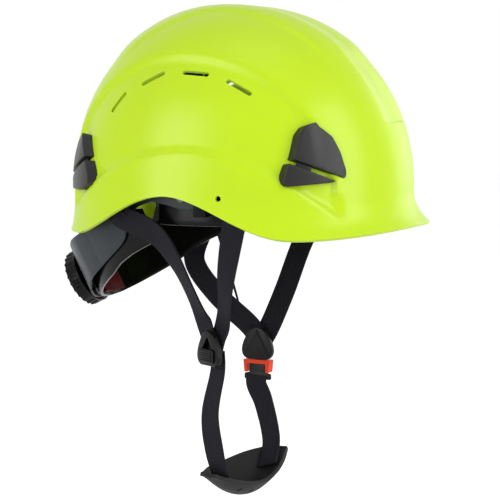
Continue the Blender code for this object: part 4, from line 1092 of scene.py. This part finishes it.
LINER_OUTSIDE = 0.0026
BASE_INSIDE, BASE_OUTSIDE = 0.0029, 0.0042
COVER_INSIDE, COVER_OUTSIDE = 0.0068, 0.0084
liner = nape_strip(
    "nape_liner_moulding", both_sides(LINER), 0, LINER_OUTSIDE, GLOSS_BLACK, ["nape_liner"],
    120
)
nape_strip(
    "housing_base", both_sides(HOUSING), BASE_INSIDE, BASE_OUTSIDE, GLOSS_BLACK, ["ratchet_base"],
    40
)
nape_strip(
    "housing_cover", both_sides(HOUSING), COVER_INSIDE, COVER_OUTSIDE, SLATE, ["ratchet_cover"],
    40
)
print("liner faces:", len(liner.data.polygons))

# %% The wings
PIVOT_HOLE = 0.0066


def pivot_tool(side):
    """A hole through whatever lies on the pivot pin."""
    forward, up = PIVOT
    return laid(
        slab(oval(PIVOT_HOLE, PIVOT_HOLE), -0.01, 0.03),
        lambda u, v, h: at(side * (HEAD_HALF_WIDTH + h), forward + u, up + v),
    )


WING = (
    (23, -0.0150, 0.0228, 0, 1), (26, -0.0135, 0.0232, 0, 1), (30, -0.0110, 0.0240, 0, 1),
    (35, -0.0095, 0.0240, 0, 0.9), (40, -0.0080, 0.0240, 0, 0.5), (45, -0.0066, 0.0235, 0, 0.1),
    (50, -0.0052, 0.0230, 0, 0), (57, -0.0030, 0.0235, 0, 0), (62, -0.0010, 0.0245, 0, 0),
    (65, 0.0020, 0.0255, 0, 0), (68, 0.0090, 0.0265, 0, 0), (71, 0.0145, 0.0272, 0, 0),
    (76, 0.0170, 0.0272, 0, 0), (82, 0.0150, 0.0262, 0, 0), (87, 0.0070, 0.0240, 0, 0),
    (90, 0.0010, 0.0210, 0, 0), (90, -0.0030, 0.0180, 0.006, 0), (90, -0.0050, 0.0130, 0.012, 0),
    (90, -0.0045, 0.0070, 0.017, 0),
)
OVER_RACK, OVER_LINER, WING_THICKNESS = 0.0068, 0.0032, 0.0016


def wing(hand, side):
    """One wing: it lies over the rack by the housing and close to the liner further on."""
    stations = [(number, *row) for number, row in enumerate(WING)]
    last = len(stations) - 1
    bm = bmesh.new()
    bmesh.ops.create_grid(bm, x_segments=last * 6, y_segments=10, size=1)
    for vert in bm.verts:
        degrees, low, high, further, over = between(stations, last * (vert.co.x + 1) / 2)
        out = OVER_LINER + (OVER_RACK - OVER_LINER) * over
        height = low + (high - low) * (vert.co.y + 1) / 2
        vert.co = nape_place(side * degrees, height, out, further)
    name = f"nape_wing_{hand}"
    obj = piece(name, bm, SLATE, "nape_cradle", [name])
    obj.name = f"wing_{hand}"
    middle = obj.data.polygons[len(obj.data.polygons) // 2]
    thickened(obj, WING_THICKNESS, 1 if middle.normal.dot(Vector((side, 0.3, 0))) > 0 else -1)
    cut(obj, pivot_tool(side))
    return rounded(obj, 0.0004, 2, 50)


for side, hand in ((-1, "right"), (1, "left")):
    made = wing(hand, side)
print("wing faces:", len(made.data.polygons))


# %% The knob
KNOB_RADIUS, KNOB_THICKNESS, KNOB_RIBS = 0.0215, 0.011, 24
KNOB_LOW = 0.0090


def knob_place(u, v, out):
    return NAPE_CENTRE + NAPE_OUT * out + Vector((u, 0, 0)) + NAPE_UP * v


def cog(radius, tooth, teeth, share=0.5):
    """A toothed outline: each tooth rises and falls over a part of its pitch."""
    profile = (
        (0.0, 0), (0.5 - share / 2, 0), (0.5 - share / 4, tooth), (0.5 + share / 4, tooth),
        (0.5 + share / 2, 0),
    )
    points = []
    for number in range(teeth):
        for step, reach in profile:
            turn = math.tau * (number + step) / teeth
            points.append(((radius + reach) * math.cos(turn), (radius + reach) * math.sin(turn)))
    return points


KNOB_TOP = KNOB_LOW + KNOB_THICKNESS
DISC_WIDTH, RING_WIDTH = 0.034, 0.045
grip = slab(cog(KNOB_RADIUS, 0.0009, KNOB_RIBS), KNOB_LOW, KNOB_TOP - 0.0012, 0, 0.0012)
face_disc = slab(oval(DISC_WIDTH, DISC_WIDTH, steps=64), KNOB_TOP - 0.003, KNOB_TOP, 0, 0.0008)
ring = slab(oval(RING_WIDTH, RING_WIDTH, steps=64), KNOB_LOW - 0.0004, KNOB_LOW + 0.0016, 0, 0.0006)
bm = laid(merged(grip, face_disc, ring), knob_place)
knob = piece("knob_grip", bm, GLOSS_BLACK, "size_knob", ["ratchet_knob"])
print("knob faces:", len(knob.data.polygons))

# %% [markdown]
# ## Headband, brow pad and cradle
# These are inside the shell and are seen from below. The headband is a
# springy plastic strip, the brow pad is foam in a knitted cover, and the cradle is three
# webbing bands over the head.

# %% The headband
HEAD_CENTRE, HEAD_FRONT = 0.004, 0.098
BAND_LOW, BAND_HIGH, BAND_THICKNESS, BAND_END = -0.026, 0.002, 0.002, 112


def head_place(degrees, up, out):
    """A point round the head: degrees from the front, a height, and a distance from the headband."""
    turn = math.radians(degrees)
    length = HEAD_FRONT if math.cos(turn) > 0 else HEAD_FRONT * 0.9
    return at(
        (HEAD_HALF_WIDTH + out) * math.sin(turn), HEAD_CENTRE + (length + out) * math.cos(turn), up
    )


bm = bmesh.new()
bmesh.ops.create_grid(bm, x_segments=160, y_segments=6, size=1)
for vert in bm.verts:
    up = (BAND_LOW + BAND_HIGH) / 2 + (BAND_HIGH - BAND_LOW) / 2 * vert.co.y
    vert.co = head_place(BAND_END * vert.co.x, up, 0)
headband = piece("headband_strip", bm, GLOSS_BLACK, "root", ["headband"])
front = min(headband.data.polygons, key=lambda face: face.center.y)
thickened(headband, BAND_THICKNESS, 1 if front.normal.y < 0 else -1)
for side in (-1, 1):
    cut(headband, pivot_tool(side))
rounded(headband, 0.0005, 2, 50)
print("headband faces:", len(headband.data.polygons))

# %% The brow pad
PAD_PARTS, PAD_END, PAD_LOW, PAD_HIGH = 5, 66, -0.028, 0.0
PAD_OUTER, PAD_INNER = -0.0006, -0.0052


def pad_place(along, across, layer):
    """A quilted pad: it bulges between the sewn lines and draws in to a thin edge."""
    bulge = abs(math.sin(math.pi * PAD_PARTS * (along + 1) / 2)) ** 0.5
    crown = (1 - abs(across) ** 4) * (1 - abs(along) ** 24)
    reach = PAD_OUTER + (PAD_INNER - PAD_OUTER) * (0.25 + 0.75 * crown * (0.35 + 0.65 * bulge))
    out = reach if layer > 0 else PAD_OUTER
    middle, half = (PAD_LOW + PAD_HIGH) / 2, (PAD_HIGH - PAD_LOW) / 2
    narrow = 1 - 0.35 * abs(along) ** 6
    return head_place(PAD_END * along, middle + half * narrow * across, out)


bm = bmesh.new()
bmesh.ops.create_grid(bm, x_segments=160, y_segments=24, size=1)
grown = bmesh.ops.extrude_face_region(bm, geom=bm.faces[:], use_keep_orig=True)
top = [item for item in grown["geom"] if isinstance(item, bmesh.types.BMVert)]
bmesh.ops.translate(bm, verts=top, vec=(0, 0, 1))
pad = piece("brow_pad_quilted", laid(bm, pad_place), KNIT, "root", ["brow_pad"])
print("pad faces:", len(pad.data.polygons))

# %% The cradle bands
CRADLE_TOP, CRADLE_STEP, CRADLE_FOOT = 0.098, 0.0022, -0.0047
CRADLE_WIDTH, CRADLE_THICKNESS, CRADLE_INSET = 0.016, 0.001, 0.004
CRADLE_TURNS = 40
BANDS = ((1, -45, 146), (2, 45, -146), (3, -82, 82))


def wall_point(angle, inset):
    """A point inside the shell at its widest level, measured from the inner wall."""
    radius = plan_radius(angle)
    plain = at(radius * math.sin(angle), radius * math.cos(angle), 0)
    point = plain + flare(plain) + dome_normal(plain) * (moulding(plain) - WALL - inset)
    return Vector((point.x, point.y, 0))


for number, first, last in BANDS:
    feet = [wall_point(math.radians(angle), CRADLE_INSET) for angle in (first, last)]
    along = (feet[1] - feet[0]).normalized()
    top = CRADLE_TOP + (number - 1) * CRADLE_STEP
    route, slopes = [], []
    for step in range(CRADLE_TURNS + 1):
        turn = math.pi * step / CRADLE_TURNS
        foot = feet[0] if turn < math.pi / 2 else feet[1]
        rise = CRADLE_FOOT + (top - CRADLE_FOOT) * math.sin(turn)
        slope = (Vector((0, 0, 1)) * math.sin(turn) - along * math.cos(turn)).normalized()
        route.append(foot * abs(math.cos(turn)) + Vector((0, 0, rise)) + slope * CRADLE_THICKNESS / 2)
        slopes.append(slope)
    band(f"cradle_strap_{number}", route, slopes, "root", CRADLE_WIDTH, CRADLE_THICKNESS)

# %% [markdown]
# ## Plain parts of the frame
# The remaining parts have the right shape already: the hooks and anchors, the hangers, the
# racks, the pinion, the insert, the screw and the pins. They keep their shape and get a finish.

# %% Finishes for the frame's own parts
FINISH_OF = {
    "nape_insert": RED, "knob_screw": STEEL, "ratchet_pinion": STEEL,
    "size_rack_left": SATIN_BLACK, "size_rack_right": SATIN_BLACK,
}
for name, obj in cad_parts.items():
    if name.startswith(("cradle_anchor", "harness_hook", "nape_hanger")):
        FINISH_OF[name] = GLOSS_BLACK
    if name.startswith("nape_pivot_pin"):
        FINISH_OF[name] = BLUED_STEEL
for name, finish in FINISH_OF.items():
    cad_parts[name].data.materials[0] = finish
print("plain parts finished:", len(FINISH_OF))
